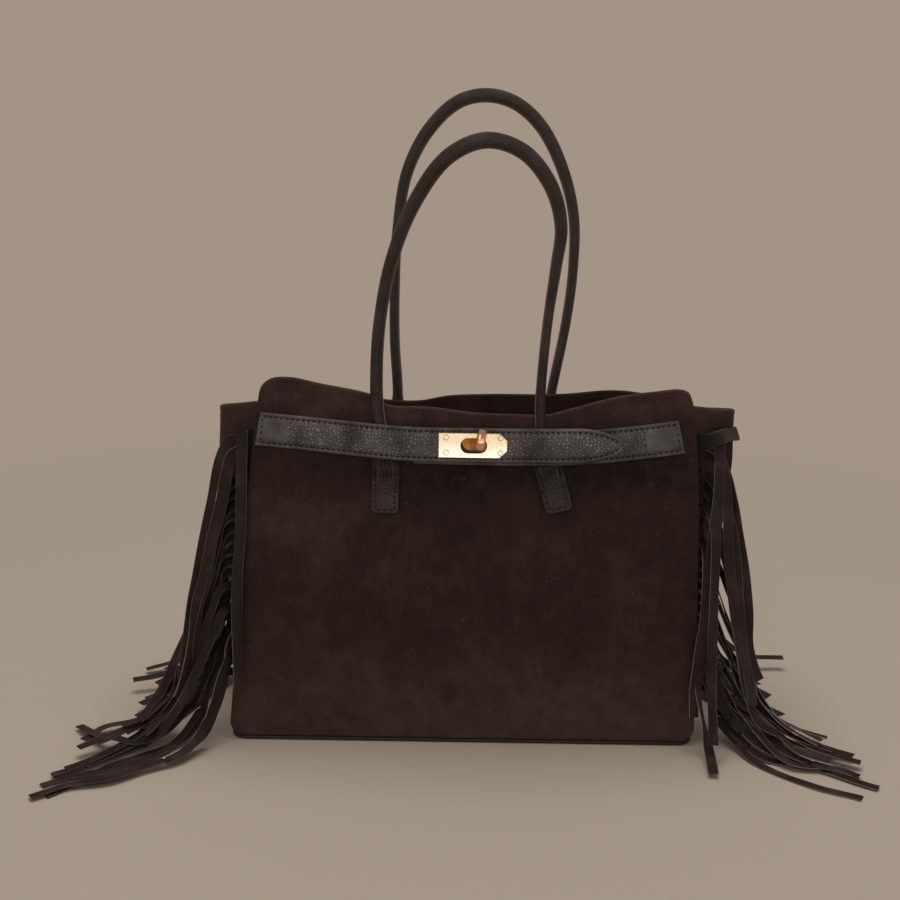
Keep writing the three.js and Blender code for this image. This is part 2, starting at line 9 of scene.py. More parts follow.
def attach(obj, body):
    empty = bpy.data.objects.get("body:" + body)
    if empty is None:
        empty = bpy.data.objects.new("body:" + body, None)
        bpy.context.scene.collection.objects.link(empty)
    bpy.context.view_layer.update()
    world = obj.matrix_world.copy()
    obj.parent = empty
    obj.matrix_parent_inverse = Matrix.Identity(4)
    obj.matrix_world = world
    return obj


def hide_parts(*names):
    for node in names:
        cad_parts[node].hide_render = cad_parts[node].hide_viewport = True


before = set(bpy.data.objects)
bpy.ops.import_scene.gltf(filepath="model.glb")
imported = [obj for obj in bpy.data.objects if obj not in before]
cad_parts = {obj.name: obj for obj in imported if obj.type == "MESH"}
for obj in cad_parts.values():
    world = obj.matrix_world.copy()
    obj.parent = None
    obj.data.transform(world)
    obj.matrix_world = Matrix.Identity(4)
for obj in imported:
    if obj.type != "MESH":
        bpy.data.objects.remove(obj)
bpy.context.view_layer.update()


# Stage. A matt floor and a backdrop of one even warm gray, three soft lamps, two low cards that the gold
# mirrors, and the camera, which stands in front, a little left of the middle, and looks 15 degrees down.
def linear(colour):
    """sRGB hex to linear light: a channel is divided by 12.92 below 0.04045, and otherwise it is
    ((channel + 0.055) / 1.055) to the power 2.4."""
    channels = [int(colour[i:i + 2], 16) / 255 for i in (1, 3, 5)]
    return [c / 12.92 if c <= 0.04045 else ((c + 0.055) / 1.055) ** 2.4 for c in channels] + [1.0]


def add(tree, kind, inputs=None, out=None, **settings):
    """Adds a node and gives back its output of that name, or else the first that is in use. Settings are
    its properties. Inputs go to its sockets: an output is linked, a hex colour is turned linear, and a
    number is set."""
    made = tree.nodes.new("ShaderNode" + kind)
    for name, value in settings.items():
        setattr(made, name, value)
    for name, value in (inputs or {}).items():
        if isinstance(value, bpy.types.NodeSocket):
            tree.links.new(value, made.inputs[name])
        else:
            made.inputs[name].default_value = linear(value) if isinstance(value, str) else value
    return made.outputs[out] if out else next((o for o in made.outputs if o.enabled), None)


def new_material(name):
    """An empty material of that name, its node tree, and each point's place on the object in metres."""
    material = bpy.data.materials.new(name)
    material.use_nodes = True
    tree = material.node_tree
    tree.nodes.clear()
    return material, tree, add(tree, "TexCoord", out="Object")


def remap(tree, value, low, high, to_low=0.0, to_high=1.0, **settings):
    """Values from low to high are spread from to_low to to_high, and those outside are held there."""
    return add(tree, "MapRange", {"Value": value, "From Min": low, "From Max": high,
                                  "To Min": to_low, "To Max": to_high}, **settings)


def seen_by_camera(tree):
    """1 for rays from the camera, also by way of a mirror or glass, and 0 for rays that only carry light."""
    rays = [add(tree, "LightPath", out=f"Is {kind} Ray") for kind in ("Camera", "Glossy", "Transmission")]
    either = add(tree, "Math", {0: rays[0], 1: rays[1]}, operation="MAXIMUM")
    return add(tree, "Math", {0: either, 1: rays[2]}, operation="MAXIMUM")


backdrop_colour = "#A39485"
floor_half, floor_drop = 30, 0.0004
floor_material, tree, place = new_material("matt_floor_paint")
# Matt paint near the bag, where its shadow falls, fading into the backdrop's own colour further off.
fade = remap(tree, add(tree, "VectorMath", {0: place}, operation="LENGTH"), 0.45, 1.1)
even = add(tree, "Math", {0: fade, 1: seen_by_camera(tree)}, operation="MULTIPLY")
paint = add(tree, "BsdfDiffuse", {"Color": "#9F9182"})
glow = add(tree, "Emission", {"Color": backdrop_colour, "Strength": 1.0})
add(tree, "OutputMaterial", {"Surface": add(tree, "MixShader", {0: even, 1: paint, 2: glow})})
floor_mesh = bpy.data.meshes.new("floor")
floor_mesh.from_pydata(
    [(x * floor_half, y * floor_half, -floor_drop) for x, y in ((-1, -1), (1, -1), (1, 1), (-1, 1))],
    [], [(0, 1, 2, 3)])
floor_mesh.materials.append(floor_material)
floor = bpy.data.objects.new("floor", floor_mesh)
bpy.context.collection.objects.link(floor)

world = bpy.data.worlds.new("studio")
bpy.context.scene.world = world
world.use_nodes = True
tree = world.node_tree
tree.nodes.clear()
room = add(tree, "Background", {"Color": "#FFFFFF", "Strength": 0.36})
backdrop = add(tree, "Background", {"Color": backdrop_colour, "Strength": 1.0})
add(tree, "OutputWorld", {"Surface": add(tree, "MixShader", {0: seen_by_camera(tree), 1: room, 2: backdrop})})

# Name, place, width and height, watts and colour. The cards stand behind the camera and face the bag. The
# lamp overhead doesn't show in glossy surfaces, which keeps the belt's upper edge dark.
lamps = (
    ("lamp_front", (-0.6, -1.9, 1.6), (1.3, 1.3), 6.5, "#FFFFFF"),
    ("lamp_right", (1.7, -1.3, 1.2), (1.0, 1.0), 1.2, "#FFFFFF"),
    ("lamp_overhead", (0.0, 0.1, 2.1), (1.4, 1.2), 34, "#FFFFFF"),
    ("card_low", (0.1, -2.1, 0.14), (2.0, 0.27), 2.1, "#FFFFFF"),
    ("card_high", (0.1, -2.1, 0.62), (2.0, 0.66), 2.7, "#FFDDBA"))
bag_middle = Vector((0, 0, 0.2))
for lamp_name, spot, (across, up), watts, tint in lamps:
    lamp = bpy.data.objects.new(lamp_name, bpy.data.lights.new(lamp_name, "AREA"))
    lamp.data.shape = "RECTANGLE"
    lamp.data.size = across
    lamp.data.size_y = up
    lamp.data.energy = watts
    lamp.data.color = linear(tint)[:3]
    aim = Vector((0, 1, 0)) if lamp_name.startswith("card") else bag_middle - Vector(spot)
    lamp.matrix_world = Matrix.Translation(spot) @ aim.to_track_quat("-Z", "Y").to_matrix().to_4x4()
    lamp.visible_camera = False
    lamp.visible_glossy = lamp_name != "lamp_overhead"
    bpy.context.collection.objects.link(lamp)

camera_spot, camera_down, camera_roll = (-0.014, -1.1545, 0.5498), 15, 0.9
camera = bpy.data.objects.new("camera", bpy.data.cameras.new("camera"))
camera.data.lens = 55
camera.data.sensor_width = 36
camera.matrix_world = (
    Matrix.Translation(camera_spot)
    @ Matrix.Rotation(math.radians(90 - camera_down), 4, "X")
    @ Matrix.Rotation(math.radians(camera_roll), 4, "Z"))
bpy.context.collection.objects.link(camera)
bpy.context.scene.camera = camera
bpy.context.scene.view_settings.view_transform = "Standard"


# Base. A smooth dark leather panel, cut as a rounded rectangle and stitched round, closes the bag below.
# A stiff board lies on it. Both are flat, so the bag stands. Sizes here and below are in millimetres.
def put_mesh(name, points, faces, uv=None, marks=None):
    """A smooth mesh from points in millimetres and arrays of faces with three or four corners. The faces
    are turned where the volume under them, the sum of a x (b cross c) / 6, comes out negative."""
    points = np.asarray(points, float)
    triangles = np.vstack([f[:, [0, i, i + 1]] for f in faces for i in range(1, f.shape[1] - 1)])
    a, b, c = (points[triangles[:, i]] for i in range(3))
    if (a * np.cross(b, c)).sum() < 0:
        faces = [f[:, ::-1] for f in faces]
    corners = np.concatenate([f.ravel() for f in faces])
    sizes = np.concatenate([np.full(len(f), f.shape[1]) for f in faces])
    mesh = bpy.data.meshes.new(name)
    mesh.vertices.add(len(points))
    mesh.vertices.foreach_set("co", (points * 0.001).ravel())
    mesh.loops.add(len(corners))
    mesh.loops.foreach_set("vertex_index", corners)
    mesh.polygons.add(len(sizes))
    mesh.polygons.foreach_set("loop_start", np.cumsum(sizes) - sizes)
    mesh.polygons.foreach_set("use_smooth", np.ones(len(sizes), bool))
    if uv is not None:
        mesh.uv_layers.new(name="surface").data.foreach_set("uv", uv[corners].ravel())
    for mark, values in (marks or {}).items():
        mesh.attributes.new(mark, "FLOAT", "POINT").data.foreach_set("value", np.ravel(values))
    mesh.update(calc_edges=True)
    mesh.validate()
    piece = bpy.data.objects.new(name, mesh)
    bpy.context.collection.objects.link(piece)
    return piece


def fit(piece, material, nodes=(), body="bag"):
    """Gives a piece its material, its body and the nodes that it stands for."""
    piece.data.materials.clear()
    piece.data.materials.append(material)
    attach(piece, body)
    if nodes:
        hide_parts(*nodes)
    return piece


def quads(index):
    """The four-cornered faces between neighbouring points of a grid of point numbers."""
    return np.stack([index[:-1, :-1], index[:-1, 1:], index[1:, 1:], index[1:, :-1]], -1).reshape(-1, 4)


def turned(rings):
    """Points and faces of a closed body through rings of points, each ring closed on itself, with a pole
    at the middle of the first and of the last ring. The two poles are the last two points."""
    count, around = rings.shape[:2]
    index = np.pad(np.arange(count * around).reshape(count, around), ((0, 0), (0, 1)), "wrap")
    poles = count * around + np.arange(2)
    caps = [np.stack([np.full(around, pole), ring[:-1], ring[1:]], -1)[:, ::turn]
            for pole, ring, turn in ((poles[0], index[0], -1), (poles[1], index[-1], 1))]
    points = np.vstack([rings.reshape(-1, 3), rings[0].mean(0), rings[-1].mean(0)])
    return points, [quads(index)[:, ::-1], *caps]


def all_round(steps, start=0.0):
    """Even angles all the way round, from the start."""
    return np.linspace(0, 2 * np.pi, steps, endpoint=False) + start


def rounded_box(width, height, radius, steps):
    """Outline of a box round the origin with quarter rounds at its corners, in points at even angles. It
    is a slot where the radius is half the height, and a circle where the width is the height too."""
    angle = all_round(steps, np.pi / steps)
    c, s = np.cos(angle), np.sin(angle)
    return np.stack([np.sign(c) * (width / 2 - radius) + radius * c,
                     np.sign(s) * (height / 2 - radius) + radius * s], -1)


base_width, base_depth, base_leather = 398, 150, 3
outline = rounded_box(base_width, base_depth, 14, 96)
# Inset from the edge and height, from the middle of the top over the rounded edge to the underside,
# where a pressed line runs 5.6 mm in.
profile = [(60, 3.0), (30, 3.0), (12, 3.0), (4, 3.0), (1.2, 3.0), (0.35, 2.65), (0, 1.9), (0, 1.1),
           (0.35, 0.4), (1.3, 0.1), (4.2, 0), (5.0, 0.5), (5.6, 0.7), (6.2, 0.5), (7.0, 0), (12, 0),
           (30, 0), (60, 0)]
rings = np.array([
    np.insert(outline * (1 - 2 * inset / base_width, 1 - 2 * inset / base_depth), 2, height, axis=1)
    for inset, height in profile])
base_piece = put_mesh("base_leather", *turned(rings))


def noise(tree, place, scale, detail, roughness=0.5, distortion=0.0):
    """Soft irregular noise from 0 to 1, its scale in waves per metre."""
    return add(tree, "TexNoise", {"Vector": place, "Scale": scale, "Detail": detail,
                                  "Roughness": roughness, "Distortion": distortion})


def scaled(tree, value, by, plus=0.0):
    """value x by + plus"""
    return add(tree, "Math", {0: value, 1: by, 2: plus}, operation="MULTIPLY_ADD")


def mark(tree, name):
    """The values that a mesh holds under that name, and 0 where it has none."""
    return add(tree, "Attribute", out="Fac", attribute_name=name)


def ramp(tree, value, *stops):
    """A colour for each value, from stops of position and hex colour."""
    colour = add(tree, "ValToRGB", {"Fac": value})
    elements = colour.node.color_ramp.elements
    while len(elements) < len(stops):
        elements.new(0.5)
    for element, (position, stop) in zip(elements, stops):
        element.position = position
        element.color = linear(stop)
    return colour


def mixed(tree, share, one, other, blend="MIX"):
    """The first colour, replaced by the other or multiplied by it, as far as the share says."""
    return add(tree, "Mix", {0: share, 6: one, 7: other}, data_type="RGBA", blend_type=blend)


def surface(tree, colour, roughness, height, depth, strength=1.0, more=None):
    """Ends a material with a Principled surface, over bumps of that depth in metres where height is 1."""
    normal = add(tree, "Bump", {"Height": height, "Distance": depth, "Strength": strength})
    shader = add(tree, "BsdfPrincipled", {"Base Color": colour, "Roughness": roughness, "Normal": normal,
                                          **(more or {})})
    add(tree, "OutputMaterial", {"Surface": shader})


def leather(name, deep, usual, high, grain_mm, height_mm, roughness, painted=None):
    """Pebbled hide: cells of the given size with creases between them, from the distance to a cell's
    edge, over slow changes of colour. The creases are darker, the pebbles' tops a little glossier, and
    the mark plain_band flattens them where the leather was pressed smooth. Painted is the colour of the
    edges under the mark seam_edge."""
    material, tree, place = new_material(name)
    bend = noise(tree, place, 300 / grain_mm, 2.0).node.outputs["Color"]
    swirl = add(tree, "VectorMath", {0: bend, "Scale": grain_mm * 0.0005}, operation="SCALE")
    moved = add(tree, "VectorMath", {0: place, 1: swirl}, operation="ADD")
    cells = add(tree, "TexVoronoi", {"Vector": moved, "Scale": 1000 / grain_mm, "Randomness": 0.8},
                feature="DISTANCE_TO_EDGE")
    pebble = remap(tree, cells, 0.02, 0.3, interpolation_type="SMOOTHSTEP")
    kept = add(tree, "Math", {0: 1.0, 1: mark(tree, "plain_band")}, operation="SUBTRACT")
    pebble = scaled(tree, pebble, kept)
    tone = scaled(tree, pebble, 0.2, noise(tree, place, 45, 4.0))
    colour = ramp(tree, tone, (0.32, deep), (0.62, usual), (0.95, high))
    if painted:
        colour = mixed(tree, mark(tree, "seam_edge"), colour, painted)
    shine = remap(tree, pebble, 0, 1, roughness + 0.14, roughness)
    rise = scaled(tree, noise(tree, place, 1500, 2.0), 0.04, pebble)
    surface(tree, colour, shine, rise, height_mm * 0.001)
    return material


# Full-grain calf, rolled smooth and dyed nearly black: it only shows a fine grain and a soft shine.
smooth_calf = leather("rolled_calf_leather", "#0E0A0A", "#171110", "#221A18", 0.9, 0.12, 0.42)
fit(base_piece, smooth_calf, ["base_panel"])


def dress(material, *nodes):
    """Gives a material to CAD nodes that keep their own solids."""
    for node in nodes:
        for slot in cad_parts[node].material_slots:
            slot.material = material


# Pressed fibre board: gray brown, with short pale fibres.
fibre_board, tree, place = new_material("pressed_fibre_board")
fibres = noise(tree, place, 700, 4.0, 0.7)
colour = ramp(tree, fibres, (0.3, "#37322D"), (0.55, "#4A4540"), (0.8, "#6A635B"))
surface(tree, colour, 0.9, fibres, 0.0002)
dress(fibre_board, "base_board")


# Front and back panels. Each is one piece of suede, 2.2 mm thick, that leans in from the base to the
# mouth. The rim is turned and stitched, sags between the handles and stands up at the corners.
def spaced(count, length, edge):
    """Values from 0 to 1: even in the middle, with four closer ones within the edge at both ends."""
    close = np.array([0, 0.07, 0.28, 0.6]) * edge / length
    return np.concatenate([close, np.linspace(edge / length, 1 - edge / length, count), 1 - close[::-1]])


def ripple(x, z, wavelength, seed):
    """A gentle irregular surface between about -1 and 1: seven sine waves in seeded random directions,
    added up and divided by 3.5, with wavelengths from 0.7 to 1.5 times the one given."""
    draw = np.random.default_rng(seed)
    turns, sizes, phases = draw.uniform(0, np.pi, 7), draw.uniform(0.7, 1.5, 7), draw.uniform(0, 7, 7)
    total = 0
    for turn, size, phase in zip(turns, sizes, phases):
        run = (x * np.cos(turn) + z * np.sin(turn)) / (wavelength * size)
        total = total + np.sin(2 * np.pi * run + phase)
    return total / 3.5


def route(points, share):
    """Centripetal Catmull-Rom curve through points, which may be many curves at once. Between two points
    it is a cubic whose tangents weigh the neighbouring chords by the square roots of their lengths."""
    p = np.asarray(points, float)
    spans = p.shape[-2] - 1
    p = np.concatenate([2 * p[..., :1, :] - p[..., 1:2, :], p, 2 * p[..., -1:, :] - p[..., -2:-1, :]], -2)
    where = np.clip(share, 0, 1) * spans
    i = np.minimum(where.astype(int), spans - 1)
    w = (where - i)[..., None]
    a, b, c, d = (p[..., i + k, :] for k in range(4))
    ta, tb, tc = (np.sqrt(np.linalg.norm(n - m, axis=-1, keepdims=True)) for m, n in ((a, b), (b, c), (c, d)))
    start = ((b - a) / ta - (c - a) / (ta + tb) + (c - b) / tb) * tb
    end = ((c - b) / tb - (d - b) / (tb + tc) + (d - c) / tc) * tb
    return (b * (1 - 3 * w ** 2 + 2 * w ** 3) + c * (3 * w ** 2 - 2 * w ** 3)
            + start * (w - 2 * w ** 2 + w ** 3) + end * (w ** 3 - w ** 2))


def run_along(lines):
    """Distance along each line from its start to each of its points."""
    steps = np.linalg.norm(np.diff(lines, axis=-2), axis=-1)
    return np.concatenate([np.zeros_like(steps[..., :1]), np.cumsum(steps, -1)], -1)


def edge_runs(middle):
    """Distances along a grid's rows from its left and right borders, and along its columns from its
    bottom and top ones."""
    across, up = run_along(middle), run_along(middle.swapaxes(0, 1)).T
    return across, across[:, -1:] - across, up, up[-1] - up


def powered(values, power):
    """Values raised to a power, with their signs kept. A power below 1 turns a circle's cosine and sine
    into those of a rounded box."""
    return np.sign(values) * np.abs(values) ** power


def unit(vectors):
    """Vectors divided by their lengths."""
    return vectors / np.linalg.norm(vectors, axis=-1, keepdims=True)


def skin(name, middle, half, radius, relief=0.0, uv=None, marks=None):
    """A closed sheet. A point of the middle surface moves along its normal by plus or minus the half
    thickness, which rounds off to nothing over the radius at the border: half x sqrt(1 - (1 - distance /
    radius) squared). The relief is added on the side that the normal points to."""
    across, up = np.gradient(middle, axis=1), np.gradient(middle, axis=0)
    normal = unit(np.cross(across, up))
    near = np.minimum.reduce(edge_runs(middle))
    swell = np.sqrt(1 - (1 - np.minimum(near / radius, 1)) ** 2)
    outer = middle + normal * ((half + relief) * swell)[..., None]
    inner = middle - normal * (half * swell)[..., None]
    inside = np.zeros(near.shape, bool)
    inside[1:-1, 1:-1] = True
    index = np.arange(near.size).reshape(near.shape)
    under = index.copy()
    under[inside] = near.size + np.arange(inside.sum())

    def both(grid):
        """Values of the grid's points, for the outer face and then for the inner one."""
        return np.concatenate([np.reshape(grid, (near.size, -1)), grid[inside].reshape(inside.sum(), -1)])

    points = np.concatenate([outer.reshape(-1, 3), inner[inside]])
    return put_mesh(
        name, points, [quads(index), quads(under)[:, ::-1]],
        None if uv is None else both(uv),
        {mark: both(np.broadcast_to(value, near.shape)) for mark, value in (marks or {}).items()})


def bell(distance, middle, width):
    """exp(-((distance - middle) / width) squared)"""
    return np.exp(-((distance - middle) / width) ** 2)


rim_height, mouth_depth, suede, corner_radius = 290, 90, 2.2, 12
rim_left, rim_right = -174, 187
wall_bulge, seam_gap = 3, 0.3


def wall_face(z):
    """Distance of a wall's outer face from the middle plane: it leans from the base to the mouth and
    bulges by a sine of 3 mm."""
    rise = z / rim_height
    return base_depth / 2 + (mouth_depth - base_depth) / 2 * rise + wall_bulge * np.sin(np.pi * rise)


def side_bulge(side, z):
    """How far a side seam stands out from a straight line, q being the share of the height: 3 mm on the
    left or 7.5 mm on the right x q x (1 - q to the power 5)."""
    share = np.clip(z / rim_height, 0, 1)
    return side * np.where(side < 0, 3, 7.5) * share * (1 - share ** 5)


def side_edge(side, z):
    """Where the walls' side seam is, left (-1) or right (1), at a height."""
    rim = rim_left if side < 0 else rim_right
    return side * base_width / 2 + (rim - side * base_width / 2) * z / rim_height + side_bulge(side, z)


def foot_height(distance):
    """Height of a wall's lower edge, a quarter round at the corners: radius - sqrt(radius squared -
    (radius - distance) squared) above the base."""
    short = corner_radius - np.minimum(distance, corner_radius)
    return base_leather + seam_gap + corner_radius - np.sqrt(corner_radius ** 2 - short ** 2)


def smoothstep(low, high, x):
    """0 below low, 1 above high, and t squared x (3 - 2 t) between them, t being the share of the way."""
    t = np.clip((x - low) / (high - low), 0, 1)
    return t * t * (3 - 2 * t)


def wall_point(rim, facing, u, v, depth):
    """A point of a wall: u runs along the rim, v from the foot to the rim, depth is measured inwards
    from the outer face. The rim sinks in a little between the handles, and the wall is uneven."""
    top = route(rim, u)
    across = (top[..., 0] - rim_left) / (rim_right - rim_left)
    foot_x = base_width * (across - 0.5)
    foot = foot_height(base_width / 2 - np.abs(foot_x))
    z = foot + (top[..., 1] - foot) * v
    x = foot_x + (top[..., 0] - foot_x) * v
    x = x + side_bulge(np.sign(across - 0.5), z) * smoothstep(0.3, 0.5, np.abs(across - 0.5))
    low = (1 - smoothstep(150, 190, z)) * smoothstep(6, 30, z) * smoothstep(0, 30, 190 - np.abs(x))
    uneven = 1.1 * low * ripple(x, z, 110, 3 + facing)
    sink = (3.0 * smoothstep(272, 296, z) * bell(x, 0, 95)
            + 1.2 * smoothstep(276, 292, z) * ripple(x, z, 60, 8 + facing))
    return np.stack([x, facing * (wall_face(z) - depth + uneven - sink), z], -1)


def suede_leather(name, flat, deep, usual, light, paler_colour):
    """Split hide with a brushed nap. The nap lies in clouds and small patches, which gives light and
    dark areas, with short strokes, fine grain, pale specks of dust and a soft sheen at glancing angles.
    It is darker under the mark painted_shade, which paints shade, and a paler colour shows in patches under
    paler_band: along the rim, where the nap is rubbed, and towards the base."""
    material, tree, place = new_material(name)
    clouds = noise(tree, place, 13, 3.0, 0.55, 0.4)
    patches = noise(tree, place, 60, 4.0, 0.6)
    stretch = add(tree, "Mapping", {"Vector": place, "Scale": (1.0, 1.0, 0.3), "Rotation": (0.0, 0.35, 0.0)})
    strokes = noise(tree, stretch, 230, 3.0, 0.6)
    grain = noise(tree, place, 850, 2.0, 0.6)
    tone = scaled(tree, clouds, 0.45)
    for pattern, weight in ((patches, 0.33), (strokes, 0.22), (mark(tree, "painted_shade"), -0.11)):
        tone = scaled(tree, pattern, weight, tone)
    # The darkest stop, flat, is the colour of the darkest clouds and of the painted shade.
    colour = ramp(tree, tone, (0.3, flat), (0.38, deep), (0.5, usual), (0.64, light))
    colour = mixed(tree, scaled(tree, mark(tree, "paler_band"), patches), colour, paler_colour)
    colour = mixed(tree, 1.0, colour, remap(tree, grain, 0.25, 0.75, 0.72, 1.28), "MULTIPLY")
    dust = remap(tree, noise(tree, place, 420, 1.0), 0.75, 0.8, 0.0, 0.5)
    colour = mixed(tree, dust, colour, "#75685F")
    surface(tree, colour, 0.92, scaled(tree, grain, 0.7, strokes), 0.0006, 0.7, {
        "Specular IOR Level": 0.2, "Sheen Weight": 0.12, "Sheen Roughness": 0.45, "Sheen Tint": "#B59A8C"})
    return material


# Brown suede with a brushed nap: cloudy, matt, lighter where the nap is rubbed along the rim and lighter
# towards the base, with painted shade below the belt and beside the gussets' seams.
brown_suede = suede_leather("brushed_brown_suede", "#190F0D", "#271A17", "#30211E", "#3D2E2A", "#513A33")
front_rim = [(rim_left, 291), (-171, 304), (-163, 310.5), (-147, 312), (-122, 307), (-79, 298), (-66, 290),
             (-33, 289), (2, 285), (38, 284), (66, 284), (84, 289), (126, 300), (154, 304.5), (176, 306.5),
             (183, 304), (rim_right, 295)]
back_rim = [(rim_left, 268), (-171, 274), (-163, 280), (-140, 285), (-105, 281), (-73, 274.5), (-41, 274),
            (-16, 279), (20, 281), (83, 282), (123, 286), (140, 286), (158, 283.5), (172, 280), (182, 275),
            (rim_right, 268)]
rim_seam = 5.5
for name, node, rim, facing in (
        ("front_wall", "front_panel", front_rim, -1), ("back_wall", "back_panel", back_rim, 1)):
    u, v = np.meshgrid(spaced(170, 361, 3), spaced(110, 295, 3))
    middle = wall_point(rim, facing, u, v, suede / 2)
    from_rim = edge_runs(middle)[3]
    # The row of stitches is pressed in and puckers the suede, and the turned hem above it swells.
    relief = (-0.45 * bell(from_rim, rim_seam, 0.9) + 0.3 * bell(from_rim, 2.2, 2.0)
              + 0.10 * bell(from_rim, rim_seam, 3) * np.sin(middle[..., 0] * 1.6))
    # A paler colour along the rubbed rim and in a band below it, and lighter towards the base.
    edge_band = (0.6 * (1 - smoothstep(1.5, 9, from_rim)) + 0.35 * bell(from_rim, 12, 7)
                 + 0.75 * (1 - smoothstep(5, 110, middle[..., 2])))
    # Painted shade below the belt, where the belt shades the wall, on the front only.
    painted_shade = (facing < 0) * bell(middle[..., 2], 236, 20)
    if facing > 0:
        middle, relief, edge_band = middle[:, ::-1], relief[:, ::-1], edge_band[:, ::-1]
    wall = skin(name, middle, suede / 2, 1.8, relief, marks={"paler_band": edge_band, "painted_shade": painted_shade})
    fit(wall, brown_suede, [node])


def sample(run, values, where):
    """Points or directions read off a line at distances along it, straight between its own points."""
    return np.stack([np.interp(where, run, column) for column in values.T], -1)


def stitch_row(line, outward, length, gap, radius):
    """Stitches along a line of points, each a thread bowed into the leather: a capsule of six sides whose
    middle line is radius x (0.9 - 2 x share squared) above the surface, share running from -1 to 1."""
    run = run_along(line)
    count = max(1, int(run[-1] / (length + gap)))
    at = (np.arange(count) + 0.5) * run[-1] / count
    centre = sample(run, line, at)
    along = unit(sample(run, line, at + 0.3) - sample(run, line, at - 0.3))
    up = sample(run, outward, at)
    up = unit(up - along * (along * up).sum(1, keepdims=True))
    side = np.cross(along, up)
    share = np.array([-0.97, -0.75, 0, 0.75, 0.97])
    width = radius * np.array([0.45, 0.9, 1.0, 0.9, 0.45])
    height = radius * (0.9 - 2 * share ** 2)
    around = all_round(6)
    one, faces = turned(np.stack(np.broadcast_arrays(
        (share * length / 2)[:, None], width[:, None] * np.cos(around),
        height[:, None] + width[:, None] * np.sin(around)), -1))
    points = (centre[:, None] + one[None, :, :1] * along[:, None] + one[None, :, 1:2] * side[:, None]
              + one[None, :, 2:] * up[:, None])
    shift = (np.arange(count) * len(one))[:, None, None]
    return points.reshape(-1, 3), [(f[None] + shift).reshape(-1, f.shape[1]) for f in faces]


def joined(name, bodies, uv=None):
    """One mesh of several closed bodies, such as rows of stitches."""
    starts = np.cumsum([0] + [len(points) for points, faces in bodies])
    faces = [f + start for (points, body_faces), start in zip(bodies, starts) for f in body_faces]
    return put_mesh(name, np.vstack([points for points, body_faces in bodies]), faces, uv)


def dyed_thread(name, deep, light):
    """Waxed linen thread: two plies wound round each other show as fine light and dark bands."""
    material, tree, place = new_material(name)
    plies = noise(tree, place, 1400, 2.0)
    surface(tree, ramp(tree, plies, (0.35, deep), (0.65, light)), 0.6, plies, 0.0002)
    return material


brown_thread = dyed_thread("waxed_brown_thread", "#2E211C", "#4A3831")
# Length of a stitch, gap and thread radius.
suede_stitch = (2.9, 1.3, 0.3)
rows = []
for rim, facing in ((front_rim, -1), (back_rim, 1)):
    u = np.linspace(0.06, 0.94, 400)
    v = 1 - rim_seam / (route(rim, u)[:, 1] - base_leather)
    for depth, sign in ((0.35, 1), (suede - 0.05, -1)):
        line = wall_point(rim, facing, u, v, depth)
        rows.append(stitch_row(line, np.zeros_like(line) + (0, sign * facing, 0), *suede_stitch))
rim_stitches = joined("rim_stitches", rows)
fit(rim_stitches, brown_thread)


# Gussets. Each side is one piece of suede as wide as the base, so at the narrower mouth it folds outward
# into an ear. The ears are stitched along the top like the walls.
ear_reach = {-1: 39, 1: 44}
ear_top = {-1: (291.5, 278, 270), 1: (293, 281, 272)}
comb_tape = 1.4


def gusset_face(side, t, z):
    """x of a gusset's outer face, t running from the front seam (-1) to the back seam (1): the seam's x,
    plus the ear's reach x its growth with height x (1 - |t| to the power of its bow), less 1.5. The bow
    is 1.6, but from 0.7 to 1.2 at the top in the right ear's front half, which makes the valley there.
    Near the fold, t is rounded off."""
    spread = 1 - (1 - np.clip(z / rim_height, 0, 1)) ** 1.4
    bow = np.where((side > 0) & (t < 0), 0.7 + 0.5 * smoothstep(262, 284, z), 1.6)
    fold = (np.sqrt(t ** 2 + 0.0016) - 0.04) / (math.sqrt(1.0016) - 0.04)
    return side_edge(side, z) + side * (ear_reach[side] * spread * (1 - fold ** bow) - 1.5)


def gusset_point(side, t, v, depth):
    """A point of a gusset, v from the foot to the top edge, depth measured inwards. The top edge falls
    from the front seam to the fold and on to the back seam with |t| to the power 1.2."""
    at_front, at_fold, at_back = ear_top[side]
    top = at_fold + (np.where(t < 0, at_front, at_back) - at_fold) * np.abs(t) ** 1.2
    foot = foot_height((1 - np.abs(t)) * base_depth / 2)
    z = foot + (top - foot) * v
    front = wall_face(z) - suede - comb_tape - 2 * seam_gap
    return np.stack([gusset_face(side, t, z) - side * depth, t * front, z], -1)


ear_row_gap = 3.6
rows = []
for side, name, node in ((-1, "left_side", "left_gusset"), (1, "right_side", "right_gusset")):
    t, v = np.meshgrid(2 * spaced(110, 170, 3) - 1, spaced(90, 280, 3))
    middle = gusset_point(side, t, v, suede / 2)
    soft = smoothstep(10, 60, middle[..., 2]) * (1 - np.abs(t) ** 4)
    middle[..., 0] += side * 0.9 * soft * ripple(middle[..., 1], middle[..., 2], 55, 20 + side)
    from_top = edge_runs(middle)[3]
    relief = -0.4 * bell(from_top, rim_seam, 0.9) + 0.25 * bell(from_top, 2.2, 2.0)
    edge_band = 0.7 * (1 - smoothstep(1.5, 9, from_top)) + 0.3 * bell(from_top, 12, 7)
    if side < 0:
        middle, relief, edge_band = middle[:, ::-1], relief[:, ::-1], edge_band[:, ::-1]
    # Painted shade beside the two seams, below the ear, where the fold and the fringe shade the gusset.
    painted_shade = 1.4 * bell(np.abs(middle[..., 1]), 84, 26) * (middle[..., 2] < 262)
    piece = skin(name, middle, suede / 2, 1.8, relief, marks={"paler_band": edge_band, "painted_shade": painted_shade})
    fit(piece, brown_suede, [node])
    for half in (-1, 1):
        t = half * np.linspace(0.09, 0.93, 120)
        for below in (rim_seam, rim_seam + ear_row_gap):
            line = gusset_point(side, t, 1 - below / 276, 0)
            outward = np.cross(np.gradient(line, axis=0), (0, 0, -side * half))
            rows.append(stitch_row(line, outward * [1, 1, 0], *suede_stitch))
ear_stitches = joined("ear_stitches", rows)
fit(ear_stitches, brown_thread)


